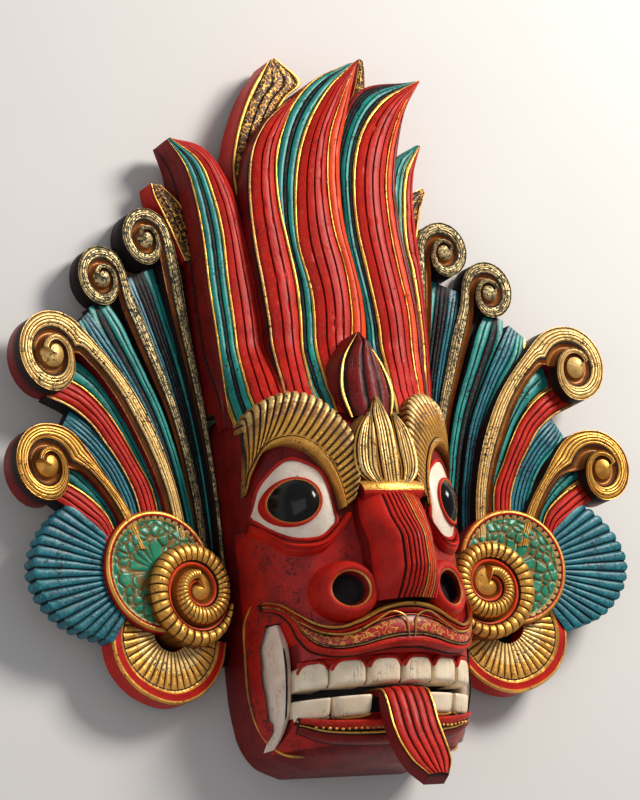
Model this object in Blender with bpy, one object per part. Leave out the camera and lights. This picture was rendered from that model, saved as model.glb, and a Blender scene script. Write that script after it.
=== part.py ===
"""Naga raksha mask: a carved wooden demon face with a flame crest and two scrolled wings.

The mask lies on its back: +X to the viewer's right, +Y towards the crest, +Z out of the face.
The outlines are shares of the mask's length from the tip of the tongue to the tip of the crest,
given in units of MASK_LENGTH / 784. The part's origin is on the flat back of the crest.
"""
import math

import bmesh
import bpy
import numpy as np

MASK_LENGTH = 0.486
WALL = 0.0125
JOINT_GAP = 0.0003
MOUTH_GAP = 0.0060
TONGUE_THICKNESS = 0.0095
TONGUE_WIDTH = 0.0335
TUSK_WIDTH = 0.0100
TUSK_CLEARANCE = 0.0006
BOARD_THICKNESS = 0.0095
WING_SLOPE = 0.10
VALLEY_DEPTH = 0.0016
NOSTRIL_DEPTH = 0.0090
BROW_RIBS = 16
BLUE_RIBS = 14
GOLD_RIBS = 16
BOSS_RIBS = 16
SCALLOP = 0.03

UNIT = MASK_LENGTH / 784
ORIGIN_Y = 330
GAP = JOINT_GAP / UNIT
VALLEY = VALLEY_DEPTH / UNIT
WING_ROOT = 119

HEAD_Y = [-74, -62, -45, -30, 10, 60, 120, 180, 240, 300]
HEAD_FRONT = [78, 106, 124, 136, 150, 158, 152, 148, 140, 112]
HEAD_WIDTH = [70, 96, 109, 114, 118, 118, 118, 118, 119, 118]
HEAD_BASE = 50
MOUTH_Y = (-34, 24)
MOUTH_DROP = 12
MOUTH_MIDDLE = -7.5
MOUTH_HALF = 97
POCKET_FLOOR = 62
UPPER_TOOTH = (21, -3)
LOWER_TOOTH = (-32, -12)
BUD_HEIGHT = (128, 92)
WELD = 0.00002

JOINT_LINE = [(119, -90), (119, 200), (120, 260), (124, 308), (129, 369), (132, 403), (134, 440),
              (137, 467), (150, 520), (154, 700)]

VOLUTE_TURNS = [-0.25, 0, 0.25, 0.5, 0.75, 1, 1.25, 1.5, 1.75, 2.25]
VOLUTE_RADII = [1, 0.92, 0.84, 0.5, 0.42, 0.36, 0.29, 0.22, 0.16]
STEM_ROWS = 5
SCROLL_STEPS = 12
PLUME_ROWS = 5
FLAME_ROWS = 8
ROUND_STEPS = 14
DISC_STEPS = 26
FLAT_ANGLE = 4.0
TUCK = 2.5
SCROLLS = {
    "one": {"eye": (174, 471), "radius": 33, "entry": 1.08, "floor": 0, "rim": 27, "top": 33,
            "outer": [(120, 120), (120, 214), (126, 308), (132, 369), (135, 410), (137, 440)],
            "inner": [(126, 120), (127, 214), (137, 308), (146, 363), (153, 405), (158, 446)]},
    "two": {"eye": (225, 429), "radius": 34, "entry": 1.0, "floor": 0, "rim": 19, "top": 26,
            "outer": [(134, 150), (137, 212), (152, 300), (168, 350), (180, 385), (190, 410)],
            "inner": [(146, 150), (150, 211), (166, 296), (181, 337), (195, 372), (207, 408)]},
    "three": {"eye": (300, 341), "radius": 45, "entry": 1.25, "floor": 12, "rim": 38, "top": 52,
              "outer": [(166, 160), (172, 207), (194, 277), (218, 320), (234, 340), (245, 352)],
              "inner": [(184, 160), (191, 207), (213, 265), (236, 308), (258, 335), (272, 345)]},
    "four": {"eye": (317, 230), "radius": 42, "entry": 1.45, "floor": 12, "rim": 38, "top": 52,
             "outer": [(212, 150), (228, 187), (241, 208), (250, 220)],
             "inner": [(232, 150), (246, 187), (262, 211), (279, 226)]},
}
# Plumes between the stems: two plan edges from root to tip, floor, top, cross columns.
PLUMES = [
    ([(123, 130), (130, 270), (141, 345), (152, 392), (163, 445)],
     [(142, 130), (150, 260), (168, 330), (184, 375), (205, 428)], 0, 15, 4),
    ([(146, 130), (152, 211), (172, 295), (195, 350), (214, 392), (226, 408)],
     [(160, 130), (168, 211), (190, 290), (214, 338), (236, 378), (240, 400)], 0, 19, 2),
    ([(158, 130), (167, 211), (189, 290), (213, 338), (236, 376), (247, 391)],
     [(176, 130), (184, 211), (204, 277), (230, 322), (256, 356), (262, 378)], 0, 24, 2),
    ([(184, 150), (190, 209), (209, 258), (229, 295), (254, 328), (276, 345)],
     [(196, 150), (204, 215), (216, 240), (242, 286), (262, 306), (282, 318)], 8, 28, 1),
    ([(194, 150), (201, 217), (213, 239), (226, 264), (240, 286), (264, 310), (290, 324)],
     [(208, 150), (218, 213), (229, 236), (243, 257), (257, 276), (276, 291), (304, 304)], 8, 31, 3),
    ([(208, 150), (217, 207), (230, 236), (244, 256), (262, 275), (280, 288)],
     [(226, 150), (238, 203), (248, 224), (262, 243), (279, 258), (290, 272)], 8, 27, 2),
    ([(232, 150), (249, 193), (264, 212), (284, 231), (298, 240)],
     [(242, 150), (257, 187), (275, 203), (294, 215), (310, 222)], 12, 30, 1),
    ([(242, 150), (256, 186), (275, 203), (300, 217)],
     [(252, 145), (263, 171), (283, 184), (312, 203)], 12, 34, 2),
]
BOARD_OUTLINE = [(119.6, 40), (119.6, 200), (120.6, 260), (124.6, 308), (129.6, 369), (132.6, 403),
                 (134.6, 440), (150, 462), (176, 440), (206, 420), (232, 385), (250, 340), (262, 290),
                 (268, 240), (262, 190), (250, 120), (230, 70), (190, 30), (150, 30)]
DISC_CENTRE = (203, 128)
DISC_RADIUS = 61
DISC_PROFILE = [(1, 38, 0), (0.95, 42, 0), (0.87, 41, 0), (0.84, 38, 0), (0.66, 40, 3), (0.48, 40, 3)]
BLUE_CENTRE = (214, 128)
BLUE_EDGE = [(293, 198), (318, 178), (333, 157), (341, 131), (336, 108), (322, 88), (303, 73), (279, 64),
             (258, 58)]
GOLD_CENTRE = (191, 72)
GOLD_EDGE = [(253, 88), (260, 62), (256, 38), (240, 16), (218, 3), (194, -2), (170, 4), (150, 18),
             (137, 36), (130, 58)]
BOSS_EYE = (167, 107)
BOSS_TURNS = [-0.2, 0, 0.25, 0.5, 0.75, 1, 1.25, 1.5, 1.75, 2, 2.5]
BOSS_REACH = [42, 54, 52, 47, 37, 33, 25, 20, 14, 9, 5]

# Crest flames: rails from root to tip, front height at root and tip, floor.
FLAMES = [
    {"rails": [[(-119, 262), (-122, 294), (-126, 361), (-128, 417), (-128, 470), (-132, 513),
                (-137, 545), (-149, 571)],
               [(-116, 262), (-118, 294), (-121, 361), (-123, 417), (-123, 470), (-126, 513),
                (-132, 545), (-147, 573)],
               [(-98, 262), (-101, 294), (-98, 373), (-99, 429), (-98, 471), (-103, 513),
                (-116, 552), (-145, 574)],
               [(-76, 262), (-74, 300), (-69, 340), (-67, 384), (-69, 430), (-76, 478),
                (-84, 525), (-112, 568), (-143, 575)]],
     "floor": 0, "z": [(38, 62, 64, 60), (26, 50, 52, 48)], "lobes": (1, 2, 2), "tuck": (0, 6)},
    {"rails": [[(-76, 262), (-73, 312), (-69, 369), (-71, 414), (-74, 470), (-73, 500),
                (-69, 532), (-59, 565), (-44, 588), (-5, 622)],
               [(-45, 262), (-42, 313), (-33, 359), (-30, 404), (-35, 463), (-38, 490),
                (-38, 523), (-32, 560), (-19, 589), (-3, 620)]],
     "floor": 0, "z": [(78, 82), (60, 66)], "lobes": (3,), "tuck": (0, 0)},
    {"rails": [[(-47, 262), (-44, 313), (-35, 359), (-32, 404), (-37, 463), (-39, 490),
                (-38, 523), (-30, 560), (-14, 600), (22, 641), (70, 665)],
               [(-30, 262), (-25, 313), (-17, 358), (-14, 404), (-23, 462), (-20, 502),
                (-11, 546), (2, 579), (38, 632), (72, 664)],
               [(2, 262), (6, 291), (14, 336), (22, 382), (22, 428), (14, 481),
                (16, 535), (24, 573), (44, 616), (73, 663)],
               [(20, 262), (26, 300), (38, 350), (41, 400), (36, 440), (32, 470),
                (33, 525), (38, 559), (50, 595), (74, 661)]],
     "floor": 0, "z": [(74, 80, 88, 84), (60, 68, 72, 68)], "lobes": (1, 3, 1), "tuck": (6, 0)},
    {"rails": [[(18, 262), (28, 306), (40, 360), (40, 410), (31, 464), (32, 500),
                (38, 560), (55, 600), (80, 635), (148, 652)],
               [(40, 262), (50, 300), (60, 361), (55, 430), (50, 480), (53, 527),
                (62, 563), (78, 595), (104, 622), (150, 650)],
               [(84, 262), (88, 315), (91, 350), (93, 390), (88, 436), (85, 485),
                (88, 530), (101, 575), (120, 612), (151, 649)],
               [(100, 262), (106, 309), (110, 363), (108, 420), (102, 486), (104, 530),
                (116, 580), (131, 618), (152, 648)]],
     "floor": 0, "z": [(70, 80, 82, 76), (54, 64, 66, 62)], "lobes": (1, 3, 1), "tuck": (6, 0)},
    {"rails": [[(100, 262), (106, 309), (109, 363), (107, 420), (102, 486), (108, 530),
                (124, 568), (150, 584)],
               [(112, 262), (117, 314), (121, 379), (121, 437), (118, 474), (121, 503),
                (130, 545), (152, 583)],
               [(119, 262), (123, 314), (128, 379), (131, 437), (132, 480), (134, 520),
                (142, 555), (154, 582)]],
     "floor": 0, "z": [(60, 64, 60), (46, 50, 46)], "lobes": (1, 1), "tuck": (6, 0)},
]
BACK_LEAVES = [
    ([(-62, 460), (-72, 555), (-64, 585), (-55, 608), (-38, 640), (-16, 668)],
     [(-30, 460), (-34, 560), (-18, 600), (2, 630), (20, 645), (-8, 672)], 10, 44),
    ([(48, 560), (60, 600), (78, 640), (90, 676)],
     [(72, 560), (88, 600), (92, 640), (95, 672)], 20, 50),
    ([(-132, 450), (-150, 495), (-160, 520), (-161, 531)],
     [(-112, 450), (-120, 490), (-128, 508), (-150, 530)], 4, 32),
    ([(112, 450), (120, 500), (136, 530), (158, 541)],
     [(134, 450), (146, 490), (152, 515), (161, 536)], 4, 34),
]

BROW_INNER = [(116, 196), (113, 214), (104, 234), (88, 238), (72, 230), (60, 213), (52, 190), (48, 168)]
BROW_OUTER = [(116, 258), (115, 272), (104, 284), (89, 291), (73, 293), (55, 286), (38, 262), (28, 226),
              (31, 198), (40, 176)]
EYE_CENTRE = (84, 178)
EYE_UPPER = [(114, 175), (104, 207), (84, 221), (66, 207), (53, 160)]
EYE_LOWER = [(113, 170), (106, 158), (90, 144), (69, 142), (54, 154)]
PUPIL_CENTRE = (88, 180)
PUPIL_RADIUS = 25
LID_UPPER = [(116, 168), (109, 158), (94, 141), (70, 138), (52, 154), (44, 164)]
LID_LOWER = [(116, 158), (107, 145), (94, 129), (70, 127), (52, 143), (40, 158)]
NOSE_Y = [192, 176, 154, 126, 102, 84, 72]
NOSE_FRONT = [160, 174, 188, 204, 205, 196, 184]
NOSE_HALF = [26, 34, 36, 33, 34, 36, 36]
NOSTRIL_CENTRE = (56, 86)
NOSTRIL_RADII = (29, 31)
LIP_TOP = [(0, 74), (12, 73), (30, 68), (50, 58), (68, 53), (84, 57), (98, 69), (108, 82), (115, 88)]
LIP_BOTTOM = [(0, 27), (14, 27), (30, 25), (54, 22), (74, 24), (90, 30), (99, 40), (108, 56), (115, 72)]
CHIN_TOP = [(0, -34), (27, -35), (55, -34), (80, -31), (98, -27), (106, -24)]
CHIN_BOTTOM = [(0, -60), (27, -60), (55, -58), (74, -54), (90, -46), (102, -36)]
UPPER_TEETH = [(1.5, 35.5), (37.5, 70), (72, 97)]
LOWER_TEETH = [(30, 67), (69, 97)]
FOREHEAD_LEAF = [
    ([(-18, 186), (-34, 200), (-36, 224), (-28, 246), (-14, 262)],
     [(-10, 186), (-12, 205), (-10, 225), (-10, 245), (-12, 260)]),
    ([(-11, 186), (-13, 210), (-13, 240), (-10, 262), (1, 281)],
     [(11, 186), (13, 210), (13, 240), (10, 262), (3, 281)]),
    ([(10, 186), (12, 205), (10, 225), (10, 245), (12, 260)],
     [(18, 186), (34, 200), (36, 224), (28, 246), (14, 262)]),
]
BUD_LEFT = [(-16, 262), (-22, 285), (-18, 310), (2, 345)]
BUD_RIGHT = [(20, 262), (24, 285), (20, 310), (5, 344)]
CHEEK_POCKET = [(98, -30), (97, 24), (99, 44), (105, 64), (112, 66), (115.4, 45), (115.2, 10), (112, -24),
                (106, -37)]
TONGUE_PATH = [(-7.5, 96), (-7.5, 128), (-11, 145), (-24, 152), (-42, 157), (-60, 165), (-78, 176),
               (-92, 185), (-100, 190)]
TONGUE_SHARE = [1, 1, 1, 1, 1, 0.98, 0.94, 0.78, 0.3]
TUSK_PATH = [(105, 57), (104, 44), (103, 20), (103, -5), (103, -28), (105, -44), (107, -53)]
TUSK_FRONT = [94, 100, 99, 95, 86, 74, 64]
TUSK_SHARE = [0.55, 1, 1, 0.92, 0.75, 0.5, 0.15]


def spline(points, count):
    """Smooth curve through the points, sampled at equal steps of length."""
    pts = np.asarray(points, float)
    step = np.r_[0, np.cumsum(np.linalg.norm(np.diff(pts, axis=0), axis=1))]
    slope = np.gradient(pts, step, axis=0)
    at = np.linspace(0, step[-1], count)
    cell = np.clip(np.searchsorted(step, at, side="right") - 1, 0, len(pts) - 2)
    width = (step[cell + 1] - step[cell])[:, None]
    t = (at - step[cell])[:, None] / width
    rise = (3 - 2 * t) * t * t
    return ((1 - rise) * pts[cell] + rise * pts[cell + 1]
            + (t - 1) ** 2 * t * width * slope[cell] + (t - 1) * t * t * width * slope[cell + 1])


def smooth(keys, values, at):
    """Monotone value between keys."""
    keys, values = np.asarray(keys, float), np.asarray(values, float)
    at = np.clip(at, keys[0], keys[-1])
    cell = np.clip(np.searchsorted(keys, at, side="right") - 1, 0, len(keys) - 2)
    delta = np.diff(values) / np.diff(keys)
    product = delta[1:] * delta[:-1]
    inner = np.where(product > 0, 2 * product / (delta[1:] + delta[:-1] + 1e-12), 0)
    slope = np.r_[delta[0], inner, delta[-1]]
    width = keys[cell + 1] - keys[cell]
    t = (at - keys[cell]) / width
    rise = (3 - 2 * t) * t * t
    return ((1 - rise) * values[cell] + rise * values[cell + 1]
            + (t - 1) ** 2 * t * width * slope[cell] + (t - 1) * t * t * width * slope[cell + 1])


def head(x, y, drop=0.0):
    """Height of the face form over a plan point."""
    front = smooth(HEAD_Y, HEAD_FRONT, y) - drop
    half = smooth(HEAD_Y, HEAD_WIDTH, y)
    share = np.clip(np.abs(x) / half, 0, 0.995)
    return HEAD_BASE + (front - HEAD_BASE) * np.sqrt(1 - share ** 2)


class Shell:
    """A closed body given by points and faces."""

    def __init__(self, points, faces):
        self.points = np.asarray(points, float)
        self.faces = faces

    def mirrored(self):
        """The same body on the other side of the midline."""
        points = self.points * (-1, 1, 1)
        return Shell(points, [list(reversed(face)) for face in self.faces])


def grid_shell(top, floor, ring=False):
    """Closed body under a grid of top points (n, m, 3); floor is a height or (n, 2) heights."""
    n, m = top.shape[:2]
    floor = np.broadcast_to(np.asarray(floor, float), (n, 2)) if np.ndim(floor) != 2 else floor
    low = top[:, [0, -1]].copy()
    low[:, :, 2] = floor
    points = np.vstack([top.reshape(-1, 3), low.reshape(-1, 3)])
    base = n * m
    faces = []
    rows = range(n) if ring else range(n - 1)
    for i in rows:
        j = (i + 1) % n
        for k in range(m - 1):
            faces.append([i * m + k, j * m + k, j * m + k + 1, i * m + k + 1])
        faces.append([i * m, base + 2 * i, base + 2 * j, j * m])
        faces.append([i * m + m - 1, j * m + m - 1, base + 2 * j + 1, base + 2 * i + 1])
        faces.append([base + 2 * i, base + 2 * i + 1, base + 2 * j + 1, base + 2 * j])
    if not ring:
        faces.append([*range(m), base + 1, base])
        faces.append([*reversed(range((n - 1) * m, n * m)), base + 2 * n - 2, base + 2 * n - 1])
    return Shell(points, faces)


def between(rails, shares):
    """Plan grid (n, m, 2) over rails (k, n, 2) at fractional rail positions."""
    rails = np.asarray(rails)
    shares = np.asarray(shares, float)
    low = np.clip(shares.astype(int), 0, len(rails) - 2)
    part = (shares - low)[:, None, None]
    return np.swapaxes((1 - part) * rails[low] + part * rails[low + 1], 0, 1)


def with_height(plan, height):
    """Plan grid (n, m, 2) and heights to a grid of points (n, m, 3)."""
    height = np.broadcast_to(height, plan.shape[:2])
    return np.concatenate([plan, height[:, :, None]], axis=2)


def plume(spec):
    """A fluted feather between two plan edges, rounded at its tip."""
    left, right, floor, top, lobes = spec
    rails = [spline(left, PLUME_ROWS), spline(right, PLUME_ROWS)]
    across = rails[1] - rails[0]
    across *= TUCK / np.linalg.norm(across, axis=1, keepdims=True)
    rails = [rails[0] - across, rails[1] + across]
    shares = np.linspace(0, 1, 2 * lobes + 1)
    crest = np.where(np.arange(2 * lobes + 1) % 2, 0, -VALLEY)
    plan = between(rails, shares)
    along = np.linspace(0, 1, PLUME_ROWS)[:, None]
    height = top + crest[None, :] - 3 * np.clip(along - 0.85, 0, 1) / 0.15
    return grid_shell(with_height(plan, height), floor)


def spiral_shell(outer, inner, start, per_turn, shares, heights, floor, centre):
    """Closed body of a band that winds inwards; each wind is welded to the next one."""
    n, m = len(outer), len(shares)
    inner = np.array([outer[i + per_turn] if start <= i < n - per_turn else inner[i] for i in range(n)])
    top = with_height(between([outer, inner], shares), heights)
    ends = start + per_turn + 1
    centre = np.array(centre, float)
    centre[:2] += 0.3 * (inner[n - 1 - per_turn + per_turn // 4] - centre[:2])
    points = np.vstack([top.reshape(-1, 3), np.c_[outer[:ends], np.full(ends, floor)],
                        np.c_[inner[:start], np.full(start, floor)].reshape(-1, 3), [centre]])

    def at(row, column):
        welded = column == m - 1 and start <= row < n - per_turn
        return (row + per_turn) * m if welded else row * m + column

    low, low_inner, middle = n * m, n * m + ends, len(points) - 1
    faces = [[at(i, k), at(i + 1, k), at(i + 1, k + 1), at(i, k + 1)]
             for i in range(n - 1) for k in range(m - 1)]
    faces += [[at(i, 0), low + i, low + i + 1, at(i + 1, 0)] for i in range(ends - 1)]
    for i in range(start):
        after = low_inner + i + 1 if i + 1 < start else low + ends - 1
        faces.append([at(i, m - 1), at(i + 1, m - 1), after, low_inner + i])
    inner_low = low_inner if start else low + ends - 1
    faces.append([at(0, k) for k in range(m)] + [inner_low, low])
    faces.append([low + i for i in range(ends)] + [low_inner + i for i in reversed(range(start))])
    loop = [at(i, m - 1) for i in range(n - 1 - per_turn, n)]
    loop += [at(n - 1, k) for k in reversed(range(1, m - 1))]
    faces += [[loop[i], loop[(i + 1) % len(loop)], middle] for i in range(len(loop))]
    used = sorted({v for face in faces for v in face})
    renumber = {v: k for k, v in enumerate(used)}
    return Shell(points[used], [[renumber[v] for v in face] for face in faces])


def scroll(spec):
    """A fluted stem that curls outwards into a volute, as one closed body."""
    eye, size = np.array(spec["eye"], float), spec["radius"]
    radii = np.array([spec["entry"]] + VOLUTE_RADII) * size

    def rim(turn):
        angle = math.pi / 2 - 2 * math.pi * turn
        reach = smooth(VOLUTE_TURNS, radii, turn)[..., None]
        return eye + reach * np.stack([np.cos(angle) * 0.9, np.sin(angle)], -1)

    stem = STEM_ROWS
    turn = np.arange(-0.25 * SCROLL_STEPS, SCROLL_STEPS + 1) / SCROLL_STEPS
    outer = np.vstack([spline(spec["outer"] + [tuple(rim(-0.25))], stem + 1)[:-1], rim(turn)])
    inner = np.vstack([spline(spec["inner"] + [tuple(rim(0.75))], stem + 1)[:-1], rim(turn + 1)])
    shares = np.array([0, 0.18, 0.5, 0.82, 1.0])
    crest = np.array([-1, 0, -0.9, 0, -1.2]) * VALLEY
    rise = np.r_[np.zeros(stem), np.linspace(0, 1, len(turn))]
    base = spec["rim"] + rise * (spec["top"] - spec["rim"])
    heights = base[:, None] + crest[None, :]
    centre = (*eye, spec["top"] + 3)
    return spiral_shell(outer, inner, stem, SCROLL_STEPS, shares, heights, spec["floor"], centre)


def slab(outline, floor, top):
    """A flat board over a plan outline."""
    flat = np.asarray(outline, float)
    n = len(flat)
    points = np.vstack([np.c_[flat, np.full(n, top)], np.c_[flat, np.full(n, floor)]])
    faces = [list(range(n)), list(reversed(range(n, 2 * n)))]
    faces += [[i, n + i, n + (i + 1) % n, (i + 1) % n] for i in range(n)]
    return Shell(points, faces)


def fan(centre, edge, ribs, floor, top, start, border=1.0):
    """A ribbed, scalloped fan between an inner arc and an outer edge."""
    outer = spline(edge, 2 * ribs + 1)
    centre = np.asarray(centre, float)
    ridge = (np.arange(2 * ribs + 1) % 2)[:, None]
    reach = outer - centre
    shares = np.array([start, 0.94 * border, 1.0])
    notch = (1 - ridge) * SCALLOP * (shares == 1)[None, :]
    plan = centre + reach[:, None, :] * (shares[None, :] - notch)[:, :, None]
    height = top - (1 - ridge) * VALLEY * np.array([0.8, 1, 0.4])[None, :] - np.array([1, 0, 2.5])[None, :]
    return grid_shell(with_height(plan, height), floor)


def disc(centre, radii, profile, floor, steps):
    """A turned boss: profile is (share of radius, height, rib depth) from the rim inwards."""
    angle = np.linspace(0, 2 * math.pi, steps, endpoint=False)
    unit = np.stack([np.cos(angle), np.sin(angle)], -1) * radii
    profile = np.asarray(profile, float)
    plan = np.asarray(centre) + unit[:, None, :] * profile[None, :, 0, None]
    stagger = (np.arange(steps)[:, None] + np.arange(len(profile))[None, :]) % 2
    dip = stagger * profile[None, :, 2]
    top = with_height(plan, profile[None, :, 1] - dip)
    m = len(profile)
    points = np.vstack([top.reshape(-1, 3), np.c_[plan[:, 0], np.full(steps, floor)],
                        [[*centre, profile[-1, 1]]]])
    faces = [[steps * m + i for i in range(steps)]]
    for i in range(steps):
        j = (i + 1) % steps
        faces += [[i * m + k, j * m + k, j * m + k + 1, i * m + k + 1] for k in range(m - 1)]
        faces += [[i * m + m - 1, j * m + m - 1, len(points) - 1], [i * m, steps * m + i, steps * m + j, j * m]]
    return Shell(points, faces)


def spiral_boss():
    """The spiral on the ear disc, like an ammonite: a ribbed band and a groove that wind in and rise."""
    centre = np.array(BOSS_EYE, float)

    def rim(turn):
        angle = 2 * math.pi * turn - math.pi / 2
        reach = smooth(BOSS_TURNS, BOSS_REACH, turn)[..., None]
        return centre + reach * np.stack([np.cos(angle), np.sin(angle)], -1)

    turn = np.arange(int(1.25 * BOSS_RIBS) + 1) / BOSS_RIBS + BOSS_TURNS[0]
    dip = (np.arange(len(turn)) % 2)[:, None] * VALLEY
    rib = np.array([0, 6, 7, 1, 0])
    heights = (46 + 5 * turn)[:, None] + rib[None, :] - dip * np.array([0.3, 1, 1, 0, 0])[None, :]
    shares = [0, 0.14, 0.6, 0.72, 1.0]
    return spiral_shell(rim(turn), rim(turn + 1), 0, BOSS_RIBS, shares, heights, 6, (*centre, 60))


def wing_shells():
    """All bodies of one wing, on the right-hand side, on a flat board."""
    shells = [slab(BOARD_OUTLINE, 0, BOARD_THICKNESS / UNIT)]
    for spec in PLUMES:
        shells.append(plume(spec))
    for spec in SCROLLS.values():
        shells.append(scroll(spec))
    shells.append(fan(BLUE_CENTRE, BLUE_EDGE, BLUE_RIBS, 14, 36, 0.38))
    shells.append(fan(GOLD_CENTRE, GOLD_EDGE, GOLD_RIBS, 8, 33, 0.3, 0.94))
    shells.append(disc(DISC_CENTRE, (DISC_RADIUS, DISC_RADIUS), DISC_PROFILE, 0, DISC_STEPS))
    shells.append(spiral_boss())
    return shells


def flame(spec):
    """A crest flame over its rails, with fluted lobes between them."""
    count = FLAME_ROWS
    rails = [spline(rail, count) for rail in spec["rails"]]
    for k, way in ((0, -spec["tuck"][0]), (-1, spec["tuck"][1])):
        rails[k] = rails[k] + np.array([way, 0]) * np.linspace(1, 0.2, count)[:, None]
    shares, drops = [0.0], [0.0]
    for k, lobes in enumerate(spec["lobes"]):
        for j in range(1, 2 * lobes):
            shares.append(k + j / (2 * lobes))
            drops.append(VALLEY * (1.2 if j % 2 == 0 else 0.0) if lobes > 1 else 1.6 * VALLEY)
        shares.append(k + 1.0)
        drops.append(0.0)
    shares = np.array(shares)
    plan = between(rails, shares)
    root = np.interp(shares, range(len(rails)), spec["z"][0])
    tip = np.interp(shares, range(len(rails)), spec["z"][1])
    along = np.linspace(0, 1, count)[:, None]
    fade = np.clip((1 - along) / 0.2, 0, 1)
    height = root + (tip - root) * along ** 2 - np.array(drops)[None, :] * fade
    return grid_shell(with_height(plan, height), spec["floor"])


def on_head(plan, lift, depth=12.0, drop=0.0):
    """A carved strip standing on the face form."""
    height = head(plan[..., 0], plan[..., 1], drop) + lift
    floor = np.maximum(height[:, [0, -1]] - np.broadcast_to(lift, height.shape)[:, [0, -1]] - depth, 4)
    floor = np.broadcast_to(floor.min(axis=1, keepdims=True), floor.shape)
    return grid_shell(with_height(plan, height), floor)


def brow():
    """A fluted shell brow with a beaded inner rim."""
    count = 2 * BROW_RIBS + 1
    plan = between([spline(BROW_INNER, count), spline(BROW_OUTER, count)], [0, 0.1, 0.17, 1.0])
    dip = (np.arange(count) % 2 == 0)[:, None] * VALLEY * np.array([0, 0, 0.8, 1.4])[None, :]
    return on_head(plan, np.array([10, 14, 14, 20])[None, :] - dip, depth=16)


def eye():
    """The eyeball, its lower lid ridge and the domed pupil."""
    plan = between([spline(EYE_UPPER, 10), spline(EYE_LOWER, 10)], np.linspace(0, 1, 5))
    across = 1 - (2 * np.linspace(0, 1, 5) - 1) ** 2
    along = 1 - (2 * np.linspace(0, 1, 10) - 1) ** 2
    ball = on_head(plan, 3 + 7 * across[None, :] * along[:, None])
    lid = on_head(between([spline(LID_UPPER, 9), spline(LID_LOWER, 9)], [0, 0.4, 1]),
                  np.array([6, 12, 0])[None, :])
    pupil = dome(PUPIL_CENTRE, (0.9 * PUPIL_RADIUS, PUPIL_RADIUS), [(1, 7), (0.95, 12), (0.6, 15)], 16)
    return [ball, lid, pupil]


def dome(centre, radii, profile, crown):
    """A round boss on the face form: profile is (share of radius, lift)."""
    angle = np.linspace(0, 2 * math.pi, ROUND_STEPS, endpoint=False)
    unit = np.stack([np.cos(angle), np.sin(angle)], -1) * radii
    share, lift = np.array(profile, float).T
    plan = np.array(centre) + unit[:, None, :] * share[None, :, None]
    top = with_height(plan, head(plan[..., 0], plan[..., 1]) + lift[None, :])
    low = top[:, 0].copy()
    low[:, 2] = low[:, 2].min() - 12
    m, n = len(profile), ROUND_STEPS
    points = np.vstack([top.reshape(-1, 3), low, [(*centre, head(*centre) + crown)]])
    faces = [[m * n + i for i in range(n)]]
    for i in range(n):
        j = (i + 1) % n
        faces += [[m * i + k, m * j + k, m * j + k + 1, m * i + k + 1] for k in range(m - 1)]
        faces += [[m * i + m - 1, m * j + m - 1, len(points) - 1], [m * i, m * n + i, m * n + j, m * j]]
    return Shell(points, faces)


def nose():
    """The fluted nose and its two nostrils."""
    y = np.linspace(NOSE_Y[0], NOSE_Y[-1], 10)
    half = smooth(NOSE_Y[::-1], NOSE_HALF[::-1], y)
    front = smooth(NOSE_Y[::-1], NOSE_FRONT[::-1], y)
    shares = np.array([-1, -0.8, -0.55, -0.36, -0.18, 0, 0.18, 0.36, 0.55, 0.8, 1])
    round_off = np.sqrt(1 - 0.9 * shares ** 2)
    plan = np.stack([half[:, None] * shares[None, :], np.broadcast_to(y[:, None], (10, 11))], -1)
    base = head(plan[..., 0], plan[..., 1])
    dip = np.array([0, 0, 0, 1, 0, 1, 0, 1, 0, 0, 0]) * VALLEY
    height = base + (front[:, None] - base) * round_off[None, :] - dip[None, :]
    body = grid_shell(with_height(plan, height), np.broadcast_to((base.min(axis=1) - 14)[:, None], (10, 2)))
    nostril = dome(NOSTRIL_CENTRE, NOSTRIL_RADII, [(1, -2), (0.86, 16), (0.62, 20), (0.5, 15)], 12)
    return body, nostril


def nostril_hole():
    """Cutter that keeps the nostril open where the cheek would fill it."""
    angle = np.linspace(0, 2 * math.pi, ROUND_STEPS, endpoint=False)
    plan = np.array(NOSTRIL_CENTRE) + np.stack([np.cos(angle), np.sin(angle)], -1) * NOSTRIL_RADII * 0.5
    return slab(plan, head(*NOSTRIL_CENTRE) + 15 - NOSTRIL_DEPTH / UNIT, 240.0)


def tooth(span, root, edge):
    """An arched tooth standing on the gum."""
    share = np.array([0, 0.5, 0.86, 1.0])
    keep = np.array([1, 1, 0.78, 0.4])
    middle, half = (span[0] + span[1]) / 2, (span[1] - span[0]) / 2
    columns = np.array([-1, -0.8, 0.8, 1])
    x = middle + half * keep[:, None] * columns[None, :]
    y = np.broadcast_to((edge + (root - edge) * share)[:, None], x.shape)
    lift = np.array([0, 9, 9, 0])[None, :] * np.array([1, 1, 0.8, 0.3])[:, None]
    return on_head(np.stack([x, y], -1), lift, drop=MOUTH_DROP)


def both_sides(half):
    """A line over both cheeks from its right-hand half, left end first."""
    return [(-x, y) for x, y in reversed(half[1:])] + list(half)


def lips():
    """Upper lip with its edge band and the lower lip."""
    upper = between([spline(both_sides(LIP_TOP), 19), spline(both_sides(LIP_BOTTOM), 19)],
                    [0, 0.1, 0.2, 0.28, 0.7, 1])
    lower = between([spline(both_sides(CHIN_TOP), 13), spline(both_sides(CHIN_BOTTOM), 13)],
                    [0, 0.3, 0.62, 0.9, 1])
    return [on_head(upper, np.array([6, 15, 15, 11, 14, 4])[None, :], depth=20),
            on_head(lower, np.array([2, 9, 7, 8, 1])[None, :], depth=20)]


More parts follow.
